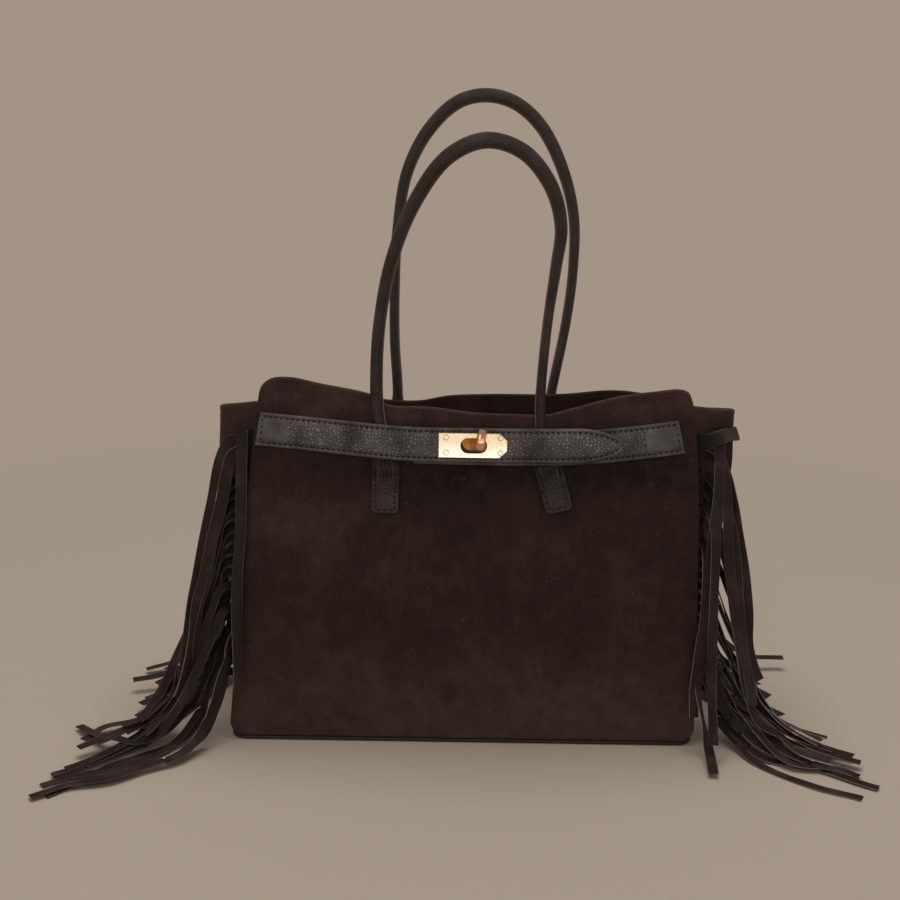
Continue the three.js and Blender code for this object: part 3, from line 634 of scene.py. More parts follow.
# Lining. A dark cotton bag, open at the top, sewn in below the rim. It hangs in soft folds and lies on
# the board. One closed surface: out over the floor, up, over the hem, and down again inside.
lining_floor, lining_top, lining_cloth = 6.0, 264, 1.0


def lining_ring(z, inset, around):
    """The lining's outline at a height, round from the front left corner: the two walls and the two
    gussets, each a quarter of the way round."""
    def side_x(side, t):
        """x of the lining beside a gusset."""
        return gusset_face(side, t, z) - side * (suede + 2.5 + inset)

    wall = wall_face(z) - suede - comb_tape - 0.9 - inset
    quarter = np.minimum((around * 4).astype(int), 3)
    along = around * 4 - quarter
    length = side_x(1, 1) - side_x(-1, 1)
    parts = [quarter == 0, quarter == 1, quarter == 2]
    x = np.select(parts, [side_x(-1, 1) + length * along, side_x(1, 2 * along - 1),
                          side_x(1, 1) - length * along], side_x(-1, 1 - 2 * along))
    y = np.select(parts, [-wall + 0 * along, wall * (2 * along - 1), wall + 0 * along],
                  wall * (1 - 2 * along))
    return np.stack([x, y, z + 0 * x], -1)


def lining_rings(inset):
    """The outlines of one face of the cloth from the floor to the hem, with 23 folds in waves of uneven
    width, less deep towards the floor and the hem."""
    around = np.linspace(0, 1, 320, endpoint=False)
    folds = 1.1 * (1 + np.sin(2 * np.pi * 23 * around + 2 * np.sin(2 * np.pi * 5 * around)))
    rings = []
    for z in np.linspace(lining_floor, lining_top, 60):
        deep = smoothstep(20, 120, z) * (1 - 0.6 * smoothstep(240, lining_top, z))
        rings.append(lining_ring(z, inset + folds * deep, around))
    return rings


def floor_rings(ring):
    """The lining's lowest outline, drawn in to 0.15, 0.45, 0.75 and 0.93 of its size."""
    return [ring * (share, share, 1) for share in (0.15, 0.45, 0.75, 0.93)]


outside, inside = lining_rings(0), lining_rings(lining_cloth)
inside[0][:, 2] += lining_cloth
rings = np.array(floor_rings(outside[0]) + outside + inside[::-1] + floor_rings(inside[0])[::-1])
lining_piece = put_mesh("cloth_lining", *turned(rings))
# Cotton twill dyed almost black: a fine diagonal weave, drawn 1.2 mm wide so that it shows.
twill, tree, place = new_material("dark_cotton_twill")
weave = add(tree, "TexWave", {"Vector": place, "Scale": 260.0, "Distortion": 1.0}, out="Fac",
            wave_type="BANDS", bands_direction="DIAGONAL")
colour = ramp(tree, weave, (0.2, "#0C0707"), (0.8, "#1B1110"))
surface(tree, colour, 0.9, weave, 0.0002, more={"Specular IOR Level": 0.15})
fit(lining_piece, twill, ["lining"])


# Fringe. Four combs, each one strip of thin suede cut into 22 strands and sewn into a side seam. A strand
# leaves the seam level, turns over the one below, falls, and what reaches the floor spreads out on it.
strand_count, strand_pitch, lowest_root = 22, 9.8, 58
strand_leather, strand_layer, tape_width, tape_inset = 1.2, 1.2, 9, 1.2
line_samples = 500


def comb_depth(z):
    """Distance of a comb's tape from the middle plane: it lies against the wall's inner face."""
    return wall_face(z) - suede - seam_gap - comb_tape / 2


def comb_roots(side, facing):
    """Where the strands of a comb leave the seam: distance from the middle, depth and height."""
    root = lowest_root + strand_pitch * np.arange(strand_count)
    return np.abs(side_edge(side, root)), facing * comb_depth(root), root


def comb_lines(side, facing, slopes, fans, arc, tuck, looseness, seed):
    """The strands' middle lines, through guide points from the seam to far out on the floor. A strand
    turns down in an arc, so far out and so far down, tucked in behind the wall's edge, falls outward by
    its slope and follows the wall. On the floor it goes sideways by its fan for each millimetre outward,
    in a slow wave, on top of the strands below it. Seeded draws of a spread given by the looseness make
    each a little different."""
    draw = np.random.default_rng(seed)
    seam_x, seam_y, root = comb_roots(side, facing)
    share = np.linspace(0, 1, strand_count)
    lean = abs(side_edge(side, 0) - side_edge(side, rim_height)) / rim_height
    slope = np.interp(share, np.linspace(0, 1, len(slopes)), slopes) + lean
    slope = slope + draw.normal(0, 0.035 * looseness, strand_count)
    fan = np.interp(share, np.linspace(0, 1, len(fans)), fans)
    fan = fan + draw.normal(0, 0.1 * looseness, strand_count)
    floor = 0.9 + strand_layer * np.arange(strand_count)
    turn_out, turn_down = arc
    drop = root - turn_down
    fall = drop - floor
    foot = turn_out + slope * fall
    bend = np.minimum(24, 0.6 * drop)
    none = 0 * root
    out = np.stack([
        none - 5, none + 5, none + 0.55 * turn_out, none + 0.84 * turn_out, none + turn_out,
        turn_out + slope * fall * 0.3, turn_out + slope * fall * 0.62, turn_out + slope * (fall - bend),
        foot + 8, foot + 26, foot + 62, foot + 105, foot + 150, foot + 260], -1)
    high = np.stack([
        root, root, root - 0.06 * turn_down, root - 0.4 * turn_down, drop,
        drop - fall * 0.3, drop - fall * 0.62, floor + bend,
        floor + 7, floor, floor * 0.7, floor * 0.5 + 0.2, floor * 0.3 + 0.5, none + 0.9], -1)
    beyond = np.maximum(0, out - foot[:, None] + 12)
    fallen = root[:, None] - high
    wave = draw.uniform(3, 9, (strand_count, 1)) * looseness * np.sin(
        beyond / draw.uniform(17, 30, (strand_count, 1)) + draw.uniform(0, 7, (strand_count, 1)))
    sway = draw.normal(0, 3.2 * looseness, out.shape) * smoothstep(15, 70, fallen)
    out = out + draw.normal(0, 2.2 * looseness, out.shape) * smoothstep(25, 90, fallen)
    y = (seam_y[:, None] + sway + fan[:, None] * beyond + wave * smoothstep(5, 60, beyond)
         + facing * (0.13 if facing < 0 else 0.05) * np.minimum(fallen, root[:, None])
         - facing * tuck * smoothstep(-3, 7, out) * (1 - smoothstep(0, 50, beyond)))
    guides = np.stack([side * (seam_x[:, None] + out), y, high], -1)
    return route(guides, np.linspace(0, 1, line_samples))


def strands(lines, lengths, widths, turn_over, slant, seed, seam_up, steps=60):
    """Ribbons along lines, cut to their lengths. The ribbon's normal starts level with the seam, is
    carried along without twist, and is turned about the line by an angle that grows to turn_over degrees,
    wanders, and becomes what lays the ribbon flat where it touches the floor. A slant cuts the start.
    The uv are the way round the strand and its distance from the seam in 100 mm, 1 more with a slant."""
    draw = np.random.default_rng(seed)
    count = len(lines)
    run = run_along(lines)
    lengths = np.minimum(lengths, run[:, -1])
    share = np.concatenate([[0, 0.0008], np.linspace(0.004, 0.996, steps - 4), [0.9992, 1]])
    line = np.stack([sample(r, points, share * length) for length, r, points in zip(lengths, run, lines)])
    along = unit(np.gradient(line, axis=1))
    normal = np.zeros_like(line)
    normal[:, 0] = unit(np.cross(along[:, 0], seam_up))
    for i in range(1, line.shape[1]):
        before = normal[:, i - 1]
        normal[:, i] = unit(before - along[:, i] * (along[:, i] * before).sum(-1, keepdims=True))
    other = np.cross(along, normal)
    reach = share * lengths[:, None]
    flat = np.arctan2(other[..., 2], normal[..., 2])
    hang = np.radians(turn_over)[:, None] * smoothstep(2, 26, reach)
    phase = draw.uniform(0, 7, (count, 2))
    loose = smoothstep(20, 90, reach) * smoothstep(60, 120, lengths[:, None])
    wander = 0.45 * np.sin(reach / 47 + phase[:, :1]) + 0.25 * np.sin(reach / 23 + phase[:, 1:])
    hang = hang + loose * wander
    # A ribbon turned by half a turn looks the same, so the flat angle nearest to the hanging one is used.
    flat = flat + np.pi * np.round((hang - flat) / np.pi)
    lying = (1 - smoothstep(5, 34, line[..., 2])) * smoothstep(30, 70, reach)
    turn = (hang + (flat - hang) * lying)[..., None]
    normal, other = normal * np.cos(turn) + other * np.sin(turn), other * np.cos(turn) - normal * np.sin(turn)
    # The section is a thin rounded rectangle of twelve points: cosine and sine, squared off.
    around = all_round(12, np.pi / 12)
    c, s = powered(np.cos(around), 0.45), powered(np.sin(around), 0.45)
    taper = np.ones(len(share))
    taper[[0, -1]] = 0.55
    wide = widths[:, None, None] / 2 * c * (0.9 + 0.1 * taper)[:, None]
    thick = strand_leather / 2 * s * taper[:, None]
    cup = 0.07 * wide ** 2 / widths[:, None, None]
    cut = slant[:, None, None] * wide * (1 - smoothstep(0, 16, reach))[..., None]
    rings = (line[:, :, None] + other[:, :, None] * wide[..., None]
             + normal[:, :, None] * (thick + cup)[..., None] + along[:, :, None] * cut[..., None])
    rings[..., 2] = np.maximum(rings[..., 2], 0.15)
    from_seam = reach / 100 + (slant != 0)[:, None]
    uv = np.stack(np.broadcast_arrays(around / (2 * np.pi), from_seam[:, :, None]), -1)
    return rings, uv, lengths


def fringe_suede(name, deep, usual, light, smooth, smooth_light, cut):
    """Thin suede strands, one face napped and one face smoother and grayer, with paler cut edges, partly
    their own colour and partly a painted highlight. The sine of the way round a strand tells its faces,
    and the cosine its edges. Near the seam, where the strands shade each other, the colour is darker: painted
    shade."""
    material, tree, place = new_material(name)
    way_round = add(tree, "SeparateXYZ", {0: add(tree, "TexCoord", out="UV")})
    turn = scaled(tree, way_round, 2 * math.pi)
    cosine, sine = (add(tree, "Math", {0: turn}, operation=kind) for kind in ("COSINE", "SINE"))
    edge = remap(tree, add(tree, "Math", {0: cosine}, operation="ABSOLUTE"), 0.86, 0.99)
    clouds = noise(tree, place, 32, 4.0, 0.6)
    grain = noise(tree, place, 900, 2.0)
    nap = ramp(tree, clouds, (0.34, deep), (0.52, usual), (0.7, light))
    flesh = ramp(tree, clouds, (0.35, smooth), (0.7, smooth_light))
    colour = mixed(tree, remap(tree, sine, -0.1, 0.1), nap, flesh)
    colour = mixed(tree, scaled(tree, edge, 0.7), colour, cut)
    colour = mixed(tree, 1.0, colour, remap(tree, grain, 0.25, 0.75, 0.75, 1.25), "MULTIPLY")
    from_seam = way_round.node.outputs["Y"]
    shade = remap(tree, from_seam, 0.1, 0.42, 0.08, 1.0, interpolation_type="SMOOTHSTEP")
    colour = mixed(tree, 1.0, colour, shade, "MULTIPLY")
    surface(tree, colour, 0.8, grain, 0.0005, 0.6, {
        "Specular IOR Level": 0.3, "Sheen Weight": 0.1, "Sheen Roughness": 0.4, "Sheen Tint": "#B59A8C"})
    return material


# Thin split suede, knife cut: brown nap outside, grayer flesh side, a pale line along each cut edge, partly
# its own colour and partly a painted highlight.
thin_suede = fringe_suede("knife_cut_thin_suede", "#1A1110", "#271B19", "#372926", "#1B1716", "#2F2B29",
                          "#857A73")
# Strands that stand out in the photo: their place in the comb, width, turn in degrees, and the slant of
# the start, where they don't start in the seam, and then the points that they pass after the seam.
traced = {
    "fringe_front_left": [
        (21, 7.0, 0, 0, [(-181, -46.5, 259), (-187.5, -50.5, 252)]),
        (None, 9.4, 0, -0.62, [(-186.2, -53.4, 266.5), (-186.4, -55, 258), (-186.6, -58, 240),
            (-186.9, -62, 211), (-188.1, -66.5, 177.5), (-189.9, -70.5, 152), (-190.9, -73.5, 126),
            (-190.9, -76.8, 91), (-190.2, -79.5, 49)]),
        (20, 9.8, 12, 0, [(-187, -52, 258), (-194.5, -54, 261.4), (-202.2, -54, 250), (-207.3, -56, 235),
            (-212.7, -58, 209.5), (-217.9, -62, 180), (-224.2, -66, 146), (-228.7, -68, 124),
            (-233.4, -72, 89.5), (-238.5, -75, 55), (-246, -80, 30), (-258, -90, 26)]),
        (19, 10.2, 8, 0, [(-186, -54, 249.5), (-192.7, -56, 250.5), (-197.4, -58, 240), (-202.8, -62, 211),
            (-211.5, -66, 177), (-218.5, -70, 143), (-223.7, -72, 125), (-228.3, -76, 91),
            (-234.4, -80, 65.6), (-242.6, -86, 40.7), (-255.6, -92, 26), (-266, -97, 24)]),
        (4, 8.8, 44, 0, [(-194, -73, 99), (-199, -75, 84), (-200, -76, 68), (-204.4, -80, 47.7),
            (-211.1, -88, 30), (-219.1, -97, 14), (-229, -106, 7), (-240, -122, 6), (-256, -133, 5),
            (-272, -142, 4), (-293, -153, 3), (-313, -163, 2)]),
        (8, 7.4, 70, 0, [(-204, -70, 136), (-212, -72, 118), (-224, -74, 84), (-240, -72, 46),
            (-256, -62, 18), (-274, -54, 9), (-290, -60, 7), (-309, -68, 6), (-318, -84, 5),
            (-330, -104, 4)]),
        (6, 7.6, 70, 0, [(-202, -74, 117), (-210, -78, 99), (-224, -84, 68), (-240, -92, 36),
            (-258, -100, 14), (-274, -104, 10), (-292, -100, 12), (-310, -88, 9), (-333, -61, 3)]),
        (2, 7.4, 40, 0, [(-198, -78, 77), (-204, -82, 62), (-212, -90, 36), (-222, -104, 14),
            (-236, -122, 6), (-258, -136, 5), (-284, -157, 5), (-314, -166, 4), (-336, -182, 3),
            (-357, -197, 1.5)]),
    ],
    "fringe_back_left": [
        (11, 7.6, 0, 0, [(-196, 66, 163), (-206, 66, 140), (-222, 60, 84), (-238, 50, 40), (-256, 34, 20),
            (-280, 22, 14), (-303, 15, 12)]),
        (9, 7.2, 0, 0, [(-198, 68, 142), (-208, 70, 118), (-226, 74, 68), (-246, 76, 24), (-270, 68, 10),
            (-300, 57, 4)]),
        (7, 7.4, 0, 0, [(-199, 70, 122), (-210, 68, 98), (-226, 54, 52), (-244, 32, 20), (-262, 8, 10),
            (-285, -12, 6)]),
    ],
    "fringe_back_right": [
        (10, 7.4, 0, 0, [(205, 70, 150), (214, 76, 120), (232, 83, 70), (254, 88, 30), (282, 88, 14),
            (300, 90, 12), (314, 90, 12)]),
    ],
    "fringe_front_right": [
        (21, 12.0, 0, 0, [(193, -47, 264), (200, -46.5, 264.3), (212, -37, 265), (222, -20, 263),
            (229.5, -8, 260.5), (234.5, 2, 258.5), (236.5, 8, 257.5), (235, 15, 256), (230, 24, 253),
            (223, 34, 250)]),
        (None, 9.2, -8, 0.15, [(211.5, -34, 266), (212.8, -36, 258), (212.5, -41, 249), (211.7, -49, 236),
            (210.3, -56, 216), (206.2, -64, 166), (203.2, -71, 115), (198.4, -78, 81), (195.5, -82, 53.6),
            (196, -90, 30)]),
        (20, 8.8, -12, 0, [(194, -36, 255), (203, -28, 254), (212.5, -34, 250), (216.6, -48, 234),
            (219.2, -56, 207), (219.7, -62, 183), (223.3, -68, 150), (231.1, -76, 99), (238.2, -84, 48),
            (240.6, -92, 22), (243, -104, 16)]),
        (19, 8.6, 15, 0, [(194, -34, 246), (205, -26, 246), (216, -33, 240), (225.2, -45, 212.7),
            (230.9, -52, 182.4), (237.4, -56, 151.7), (242.4, -60, 117), (243.6, -64, 88.7),
            (249.8, -70, 67.5), (257.3, -76, 52.8), (266, -80, 26), (280, -84, 20)]),
        (18, 8.8, 35, 0, [(194, -34, 235), (205, -30, 230), (217, -44, 212), (224, -56, 190),
            (227.3, -64, 166), (234.5, -76, 99), (244.4, -86, 49), (242, -97, 22), (236, -108, 14),
            (231, -122, 12)]),
        (17, 8.8, 40, 0, [(194, -34, 224), (206, -32, 220), (212.5, -40, 205), (212, -46, 170),
            (211, -54, 130), (212.5, -60, 95), (217, -66, 60), (226, -72, 32), (240, -78, 20)]),
        (15, 8.6, 30, 0, [(197, -38, 203), (209, -38, 197), (217, -46, 178), (225, -54, 150),
            (232, -60, 120), (236, -66, 84), (243, -72, 48), (254, -78, 24), (272, -84, 16)]),
        (16, 8.6, 60, 0, [(196, -38, 213), (204, -42, 206), (208.7, -60, 193), (209, -74, 134),
            (209.2, -82, 83), (209.4, -92, 51), (210.1, -104, 24), (208.5, -116, 12), (206.5, -131, 9)]),
        (13, 8.6, 60, 0, [(197, -44, 183), (203, -52, 172), (203.5, -66, 148), (202, -75, 90),
            (200, -79, 54), (203.8, -88, 30.8), (207.4, -98, 12.7), (207.5, -118, 6), (205, -148, 4)]),
    ],
}
# A comb's name, side and facing, the slopes and floor fans of its strands from the lowest to the highest,
# its arc, tuck, looseness and seed.
combs = (
    ("fringe_front_left", -1, -1, (0.2, 0.4, 0.42, 0.28, 0.15, 0.08), (-0.8, -0.75, -0.55, -0.45, -0.3),
     (24, 25), 4, 1.2, 5),
    ("fringe_back_left", -1, 1, (0.14, 0.16, 0.12), (-2.6, -1.9, -1.2, -0.5, -0.1), (17, 14), 0, 0.8, 6),
    ("fringe_front_right", 1, -1, (0.3, 0.5, 0.46, 0.32, 0.24, 0.2), (-0.7, -0.42, -0.3, -0.25, -0.3),
     (14, 20), 17, 1.3, 7),
    ("fringe_back_right", 1, 1, (0.1, 0.08, 0.05), (-2.4, -1.8, -1.2, -0.6, -0.1), (17, 14), 0, 0.8, 8))
traced_length = 242
for name, side, facing, slopes, fans, arc, tuck, looseness, seed in combs:
    draw = np.random.default_rng(seed + 50)
    lines = comb_lines(side, facing, slopes, fans, arc, tuck, looseness, seed)
    lengths = draw.uniform(216, 240, strand_count)
    widths = draw.uniform(7.0, 9.2, strand_count)
    turn_over = draw.normal(60, 14, strand_count) * side * facing
    slants = np.zeros(strand_count)
    seam_x, seam_y, root = comb_roots(side, facing)
    seam_up = np.stack([0 * root, facing * (wall_face(root + 1) - wall_face(root)), 0 * root + 1.0], -1)
    for at, width, degrees, slant, points in traced.get(name, ()):
        guides = np.array(points, float)
        if at is None:
            at = len(lines)
            lines = np.vstack([lines, lines[-1:]])
            lengths, widths, turn_over, slants = (
                np.append(values, 0) for values in (lengths, widths, turn_over, slants))
            seam_up = np.vstack([seam_up, (1.0 * side, 0, 0)])
        else:
            leave = [(side * (seam_x[at] + out), seam_y[at], root[at]) for out in (-5, 4)]
            guides = np.vstack([leave, guides])
        lines[at] = route(guides, np.linspace(0, 1, line_samples))
        lengths[at], widths[at], turn_over[at], slants[at] = traced_length, width, degrees, slant
    seam_up = seam_up * side * facing
    rings, uv, lengths = strands(lines, lengths, widths, turn_over, slants, seed + 90, seam_up)
    # The two poles of a strand take the uv of their rings.
    uv = np.vstack([np.vstack([one.reshape(-1, 2), one[0, 0], one[-1, 0]]) for one in uv])
    piece = joined(name + "_strands", [turned(one) for one in rings], uv)
    fit(piece, thin_suede, [name])
    u, v = np.meshgrid(np.linspace(0, 1, 6), spaced(50, 220, 1))
    z = lowest_root - strand_pitch / 2 + strand_pitch * strand_count * v
    tape_x = side_edge(side, z) - side * (tape_inset + (tape_width - tape_inset) * u)
    tape = np.stack([tape_x, facing * comb_depth(z), z], -1)
    # The tape shows the flesh side, which is a quarter of the way round a strand, and its lower part takes
    # the painted shade near the seam.
    tape_piece = skin(name + "_tape", tape, comb_tape / 2, 0.7, uv=np.stack([u * 0 + 0.25, v], -1))
    fit(tape_piece, thin_suede)


# Handles. A strip of calf rolled round a cord and stitched along the inner side, so a painted seam edge
# shows there. Each end opens into a flat tab that is sewn to the wall and is wrinkled where it is folded.
tab_width, tab_length, tab_thickness, leg_at_belt, handle_radius = 23, 42, 4.4, 9, 5.5
tab_inset, tab_stitch, belt_middle = 3.1, (3.0, 1.4, 0.5), 262


def outside_wall(facing, z, depth):
    """y of something lying at a depth in front of a wall's outer face, 0.6 mm clear of it."""
    return facing * (wall_face(z) + 0.6 + depth)


def handle_route(facing, tabs, points):
    """The handle's centre line: up one tab, round the loop and down the other tab. A tab is given by the
    x of its top, how far its foot slants aside, and the height of its foot."""
    legs = [[(top_x + slant * (1 - share), outside_wall(facing, foot + tab_length * share, tab_thickness / 2),
              foot + tab_length * share) for share in (0, 0.5, 1)] for top_x, slant, foot in tabs]
    return legs[0] + points + legs[1][::-1]


def handle_sides(centre, facing, around, half_widths):
    """Points round the handle at even steps along its centre line, which are closer on the tabs. The
    section is an ellipse raised to a power: nearly a rectangle on the tabs, turning round over the 34 mm
    above them. The half widths of the roll are given at even places along the handle. The seam's ridge,
    the centre line, its two side directions and the distance to the nearer end come back too."""
    dense = route(centre, np.linspace(0, 1, 6000))
    run = run_along(dense)
    total = run[-1]
    tab_part = np.concatenate([[0, 0.12, 0.4, 0.9], np.arange(1.6, 80, 0.8)])
    at = np.concatenate([tab_part, np.arange(81, total - 81, 2.4), total - tab_part[::-1]])
    line = sample(run, dense, at)
    before, after = np.clip(at - 0.5, 0, total), np.clip(at + 0.5, 0, total)
    along = unit(sample(run, dense, after) - sample(run, dense, before))
    deep = unit(np.array([0, 1.0, 0]) - along * along[:, 1:2])
    wide = np.cross(along, deep)
    near = np.minimum(at, total - at)[:, None]
    rounded = smoothstep(tab_length, tab_length + 34, near)
    corner = 5
    short = corner - np.minimum(near, corner)
    tab_half = tab_width / 2 - corner + np.sqrt(corner ** 2 - short ** 2)
    roll_half = np.interp(at / total, np.linspace(0, 1, len(half_widths)), half_widths)[:, None]
    half_wide = tab_half + (roll_half - tab_half) * rounded
    roll_deep = leg_at_belt / 2 + (handle_radius - leg_at_belt / 2) * smoothstep(80, 150, near)
    half_deep = tab_thickness / 2 + (roll_deep - tab_thickness / 2) * rounded
    half_deep = half_deep * np.sqrt(np.clip(1 - (1 - np.minimum(near / 1.2, 1)) ** 2, 0.05, 1))
    square = 0.35 + 0.65 * rounded
    c, s = np.cos(around), np.sin(around)
    a, b = half_wide * powered(c, square), half_deep * powered(s, square)
    # Relief, outward on the tab's face: the stitch line, the wrinkles of the folded strip above it,
    # and all along the roll the seam's raised edge on the inner side.
    row = bell(np.minimum(tab_half - np.abs(a), near), tab_inset, 0.9) * (1 - smoothstep(38, 46, near))
    upright = smoothstep(26, 34, near) * (1 - smoothstep(52, 70, near))
    level = smoothstep(12, 22, near) * (1 - smoothstep(30, 40, near))
    wrinkles = (upright * (0.8 * np.sin(2 * np.pi * (a + 0.5 * np.sin(near / 4)) / 3.1)
                           + 0.35 * np.sin(2 * np.pi * (a * 0.6 + near * 0.12) / 1.9))
                + level * 0.6 * np.sin(2 * np.pi * (near + 0.045 * a ** 2 + 0.7 * np.sin(a)) / 3.6))
    on_face = (facing * np.sign(s) > 0) * np.abs(s) ** 0.3
    b = b + facing * on_face * (wrinkles - 0.4 * row)
    ridge = bell(around, np.pi, 0.2) * rounded
    a = a - 0.9 * ridge
    rings = line[:, None] + wide[:, None] * a[..., None] + deep[:, None] * b[..., None]
    return rings, ridge, line, wide, deep, near[:, 0]


# Fine-grained calf, polished by hands: a small grain, a soft broken shine, and brownish painted edges.
handle_leather = leather("fine_grain_handle_calf", "#191312", "#2C2321", "#463B39", 1.6, 0.3, 0.33, "#866B63")
black_thread = dyed_thread("waxed_black_thread", "#070505", "#120E0D")
on_front, on_back = (outside_wall(facing, belt_middle, leg_at_belt / 2) for facing in (-1, 1))
front_loop = [
    (-70.5, on_front, belt_middle), (-74.5, -52, 287), (-75.3, -56.5, 318), (-72.5, -63, 362),
    (-63, -73.5, 412), (-44.5, -86, 460), (-18.5, -98, 496), (9.7, -102.5, 508.3), (38, -99.5, 500),
    (60.5, -90.5, 473.5), (69.8, -81, 442), (67.7, -73, 412), (63.5, -64, 370), (60.3, -56.5, 318),
    (60.2, -52, 287), (63, on_front, belt_middle)]
rear_loop = [
    (-62, on_back, belt_middle), (-62.4, 52, 287), (-65, 53, 325), (-65.3, 53, 372), (-63, 51.7, 425),
    (-54.5, 50, 475.5), (-36, 48.5, 511), (-12, 47.3, 533.5), (12.2, 47, 539.5), (37, 47.3, 533.5),
    (60, 48.4, 514), (80, 50, 477), (90.6, 51.3, 438), (91.8, 52.5, 392), (87.5, 53, 346), (77.5, 52, 287),
    (74, on_back, belt_middle)]
# Even steps round the roll, and finer ones in the middle of both faces for the wrinkles of the tabs.
closer = np.linspace(-0.4, 0.4, 16)
closer = np.arcsin(powered(closer, 1 / 0.35))
around = np.sort(np.concatenate([all_round(72), np.pi / 2 + closer, np.pi * 3 / 2 + closer]))
for name, facing, tabs, loop, half_widths in (
        ("front_handle", -1, [(-67.5, 0, 200.5), (66.6, 12, 204)], front_loop,
         (5.2, 5.2, 4.8, 4.6, 4.8, 5.4, 5.8, 5.4, 4.4, 3.6, 3.6, 4.2, 4.5)),
        ("rear_handle", 1, [(-61.6, 1, 204), (71.5, -6, 204)], rear_loop,
         (4.2, 4.2, 4.0, 4.0, 4.4, 5.2, 5.6, 5.2, 4.4, 3.9, 3.9, 4.0, 4.2))):
    centre = handle_route(facing, tabs, loop)
    rings, ridge, line, wide, deep, near = handle_sides(centre, facing, around, half_widths)
    seam_edge = np.append(np.clip(ridge * 1.3, 0, 1), [0, 0])
    piece = put_mesh(name + "_roll", *turned(rings), marks={"seam_edge": seam_edge})
    fit(piece, handle_leather, [name])
    rows = []
    on_face = (tab_thickness / 2 - 0.25) * facing
    for end in (slice(None), slice(None, None, -1)):
        part = (near[end] < tab_length + 1) & (np.arange(len(near)) < len(near) / 2)
        l, w, d, n = (values[end][part] for values in (line, wide, deep, near))
        keep = n > tab_inset
        for sign in (-1, 1):
            row = l + w * sign * (tab_width / 2 - tab_inset) + d * on_face
            rows.append(stitch_row(row[keep], (d * facing)[keep], *tab_stitch))
        across = np.linspace(-1, 1, 30)[:, None] * (tab_width / 2 - tab_inset - 0.5)
        start = np.argmin(np.abs(n - tab_inset))
        rows.append(stitch_row(l[start] + w[start] * across + d[start] * on_face,
                               np.repeat((d[start] * facing)[None], 30, 0), *tab_stitch))
    tab_stitches = joined(name + "_stitches", rows)
    fit(tab_stitches, black_thread)


# Under strap. Grained leather, sewn to the right end of the front wall in a box of
# stitches. It carries the turning half of the lock and ends behind the upper strap.
strap_width, strap_leather = 28.4, 2.6
belt_height, belt_inset, belt_stitch = 259.5, 3.3, (3.1, 1.4, 0.55)
belt_lean = math.atan2(wall_face(belt_height - 5) - wall_face(belt_height + 5), 10)
on_panel, over_leg, upper_middle = -1.9, -11.5, -17.0


def on_belt(points):
    """From the belt's own frame, which leans with the front wall at belt height, to the bag's."""
    x, y, z = np.moveaxis(np.asarray(points, float), -1, 0)
    c, s = math.cos(belt_lean), math.sin(belt_lean)
    return np.stack([x, -wall_face(belt_height) + y * c + z * s, belt_height - y * s + z * c], -1)


def strap_frame(centre, u):
    """Middle line of a strap with its sideways and outward directions, from the line's direction."""
    middle = route(centre, u)
    ahead = route(centre, np.clip(u + 0.002, 0, 1)) - route(centre, np.clip(u - 0.002, 0, 1))
    zero = np.zeros_like(ahead[..., 0])
    sideways = np.stack([-ahead[..., 2], zero, ahead[..., 0]], -1)
    outward = np.stack([ahead[..., 1], -ahead[..., 0], zero], -1) * np.sign(ahead[..., :1])
    return middle, unit(sideways), unit(outward)


def strap_surface(name, centre, half_width, count, boxes, end_slant):
    """A strap as a closed sheet. Its face has a pressed line 3.2 mm in from the edges, where the thread
    lies, and swells a little between; boxes are places, in mm from the start, of lines across. The start
    is cut aslant by the end slant. The pressed edges and the end as far as the last box are plain."""
    u, v = np.meshgrid(spaced(count, 350, 2), spaced(34, strap_width, 1.6))
    middle, sideways, outward = strap_frame(centre, u)
    grid = middle + sideways * ((2 * v - 1) * half_width(u))[..., None]
    left = edge_runs(grid)[0]
    ahead = np.cross(sideways, outward)
    ahead = ahead * np.sign(ahead[..., :1]) * np.sign(centre[-1][0] - centre[0][0])
    grid = grid + ahead * (end_slant * (0.5 - v) * (1 - smoothstep(0, 20, left)))[..., None]
    runs = edge_runs(grid)
    left, near = runs[0], np.minimum(runs[2], runs[3])
    relief = -0.5 * bell(near, 3.2, 0.8) + 0.35 * smoothstep(3.3, 7, near)
    for spot in boxes:
        relief = relief - 0.45 * bell(left, spot, 0.8)
    pressed_edge = 0.9 * (1 - smoothstep(2.8, 4.4, near))
    pressed_end = 0.8 * (1 - smoothstep(boxes[-1] - 2, boxes[-1] + 3, left))
    return skin(name, on_belt(grid), strap_leather / 2, 1.1, relief,
                marks={"plain_band": np.maximum(pressed_edge, pressed_end)})


def belt_stitches(name, centre, row_half, ends, crossings):
    """The stitches of a strap: a row along each edge between the ends, as far from the middle as row_half
    says, and a row straight across at each crossing. Ends and crossings are shares of the length."""
    along = np.linspace(*ends, 500)
    reach = strap_width / 2 - belt_inset - 0.3
    places = [(along, sign * row_half(along)) for sign in (-1, 1)]
    places += [(np.full(30, u), np.linspace(-reach, reach, 30)) for u in crossings]
    rows = []
    for u, aside in places:
        middle, sideways, outward = strap_frame(centre, u)
        line = middle + sideways * aside[:, None] + outward * (strap_leather / 2 - 0.1)
        rows.append(stitch_row(on_belt(line), on_belt(line + outward) - on_belt(line), *belt_stitch))
    return joined(name, rows)


def under_width(u):
    """Half the under strap's width, the same all along."""
    return strap_width / 2 + 0 * u


def under_row(u):
    """How far the under strap's rows of stitches are from its middle."""
    return under_width(u) - belt_inset


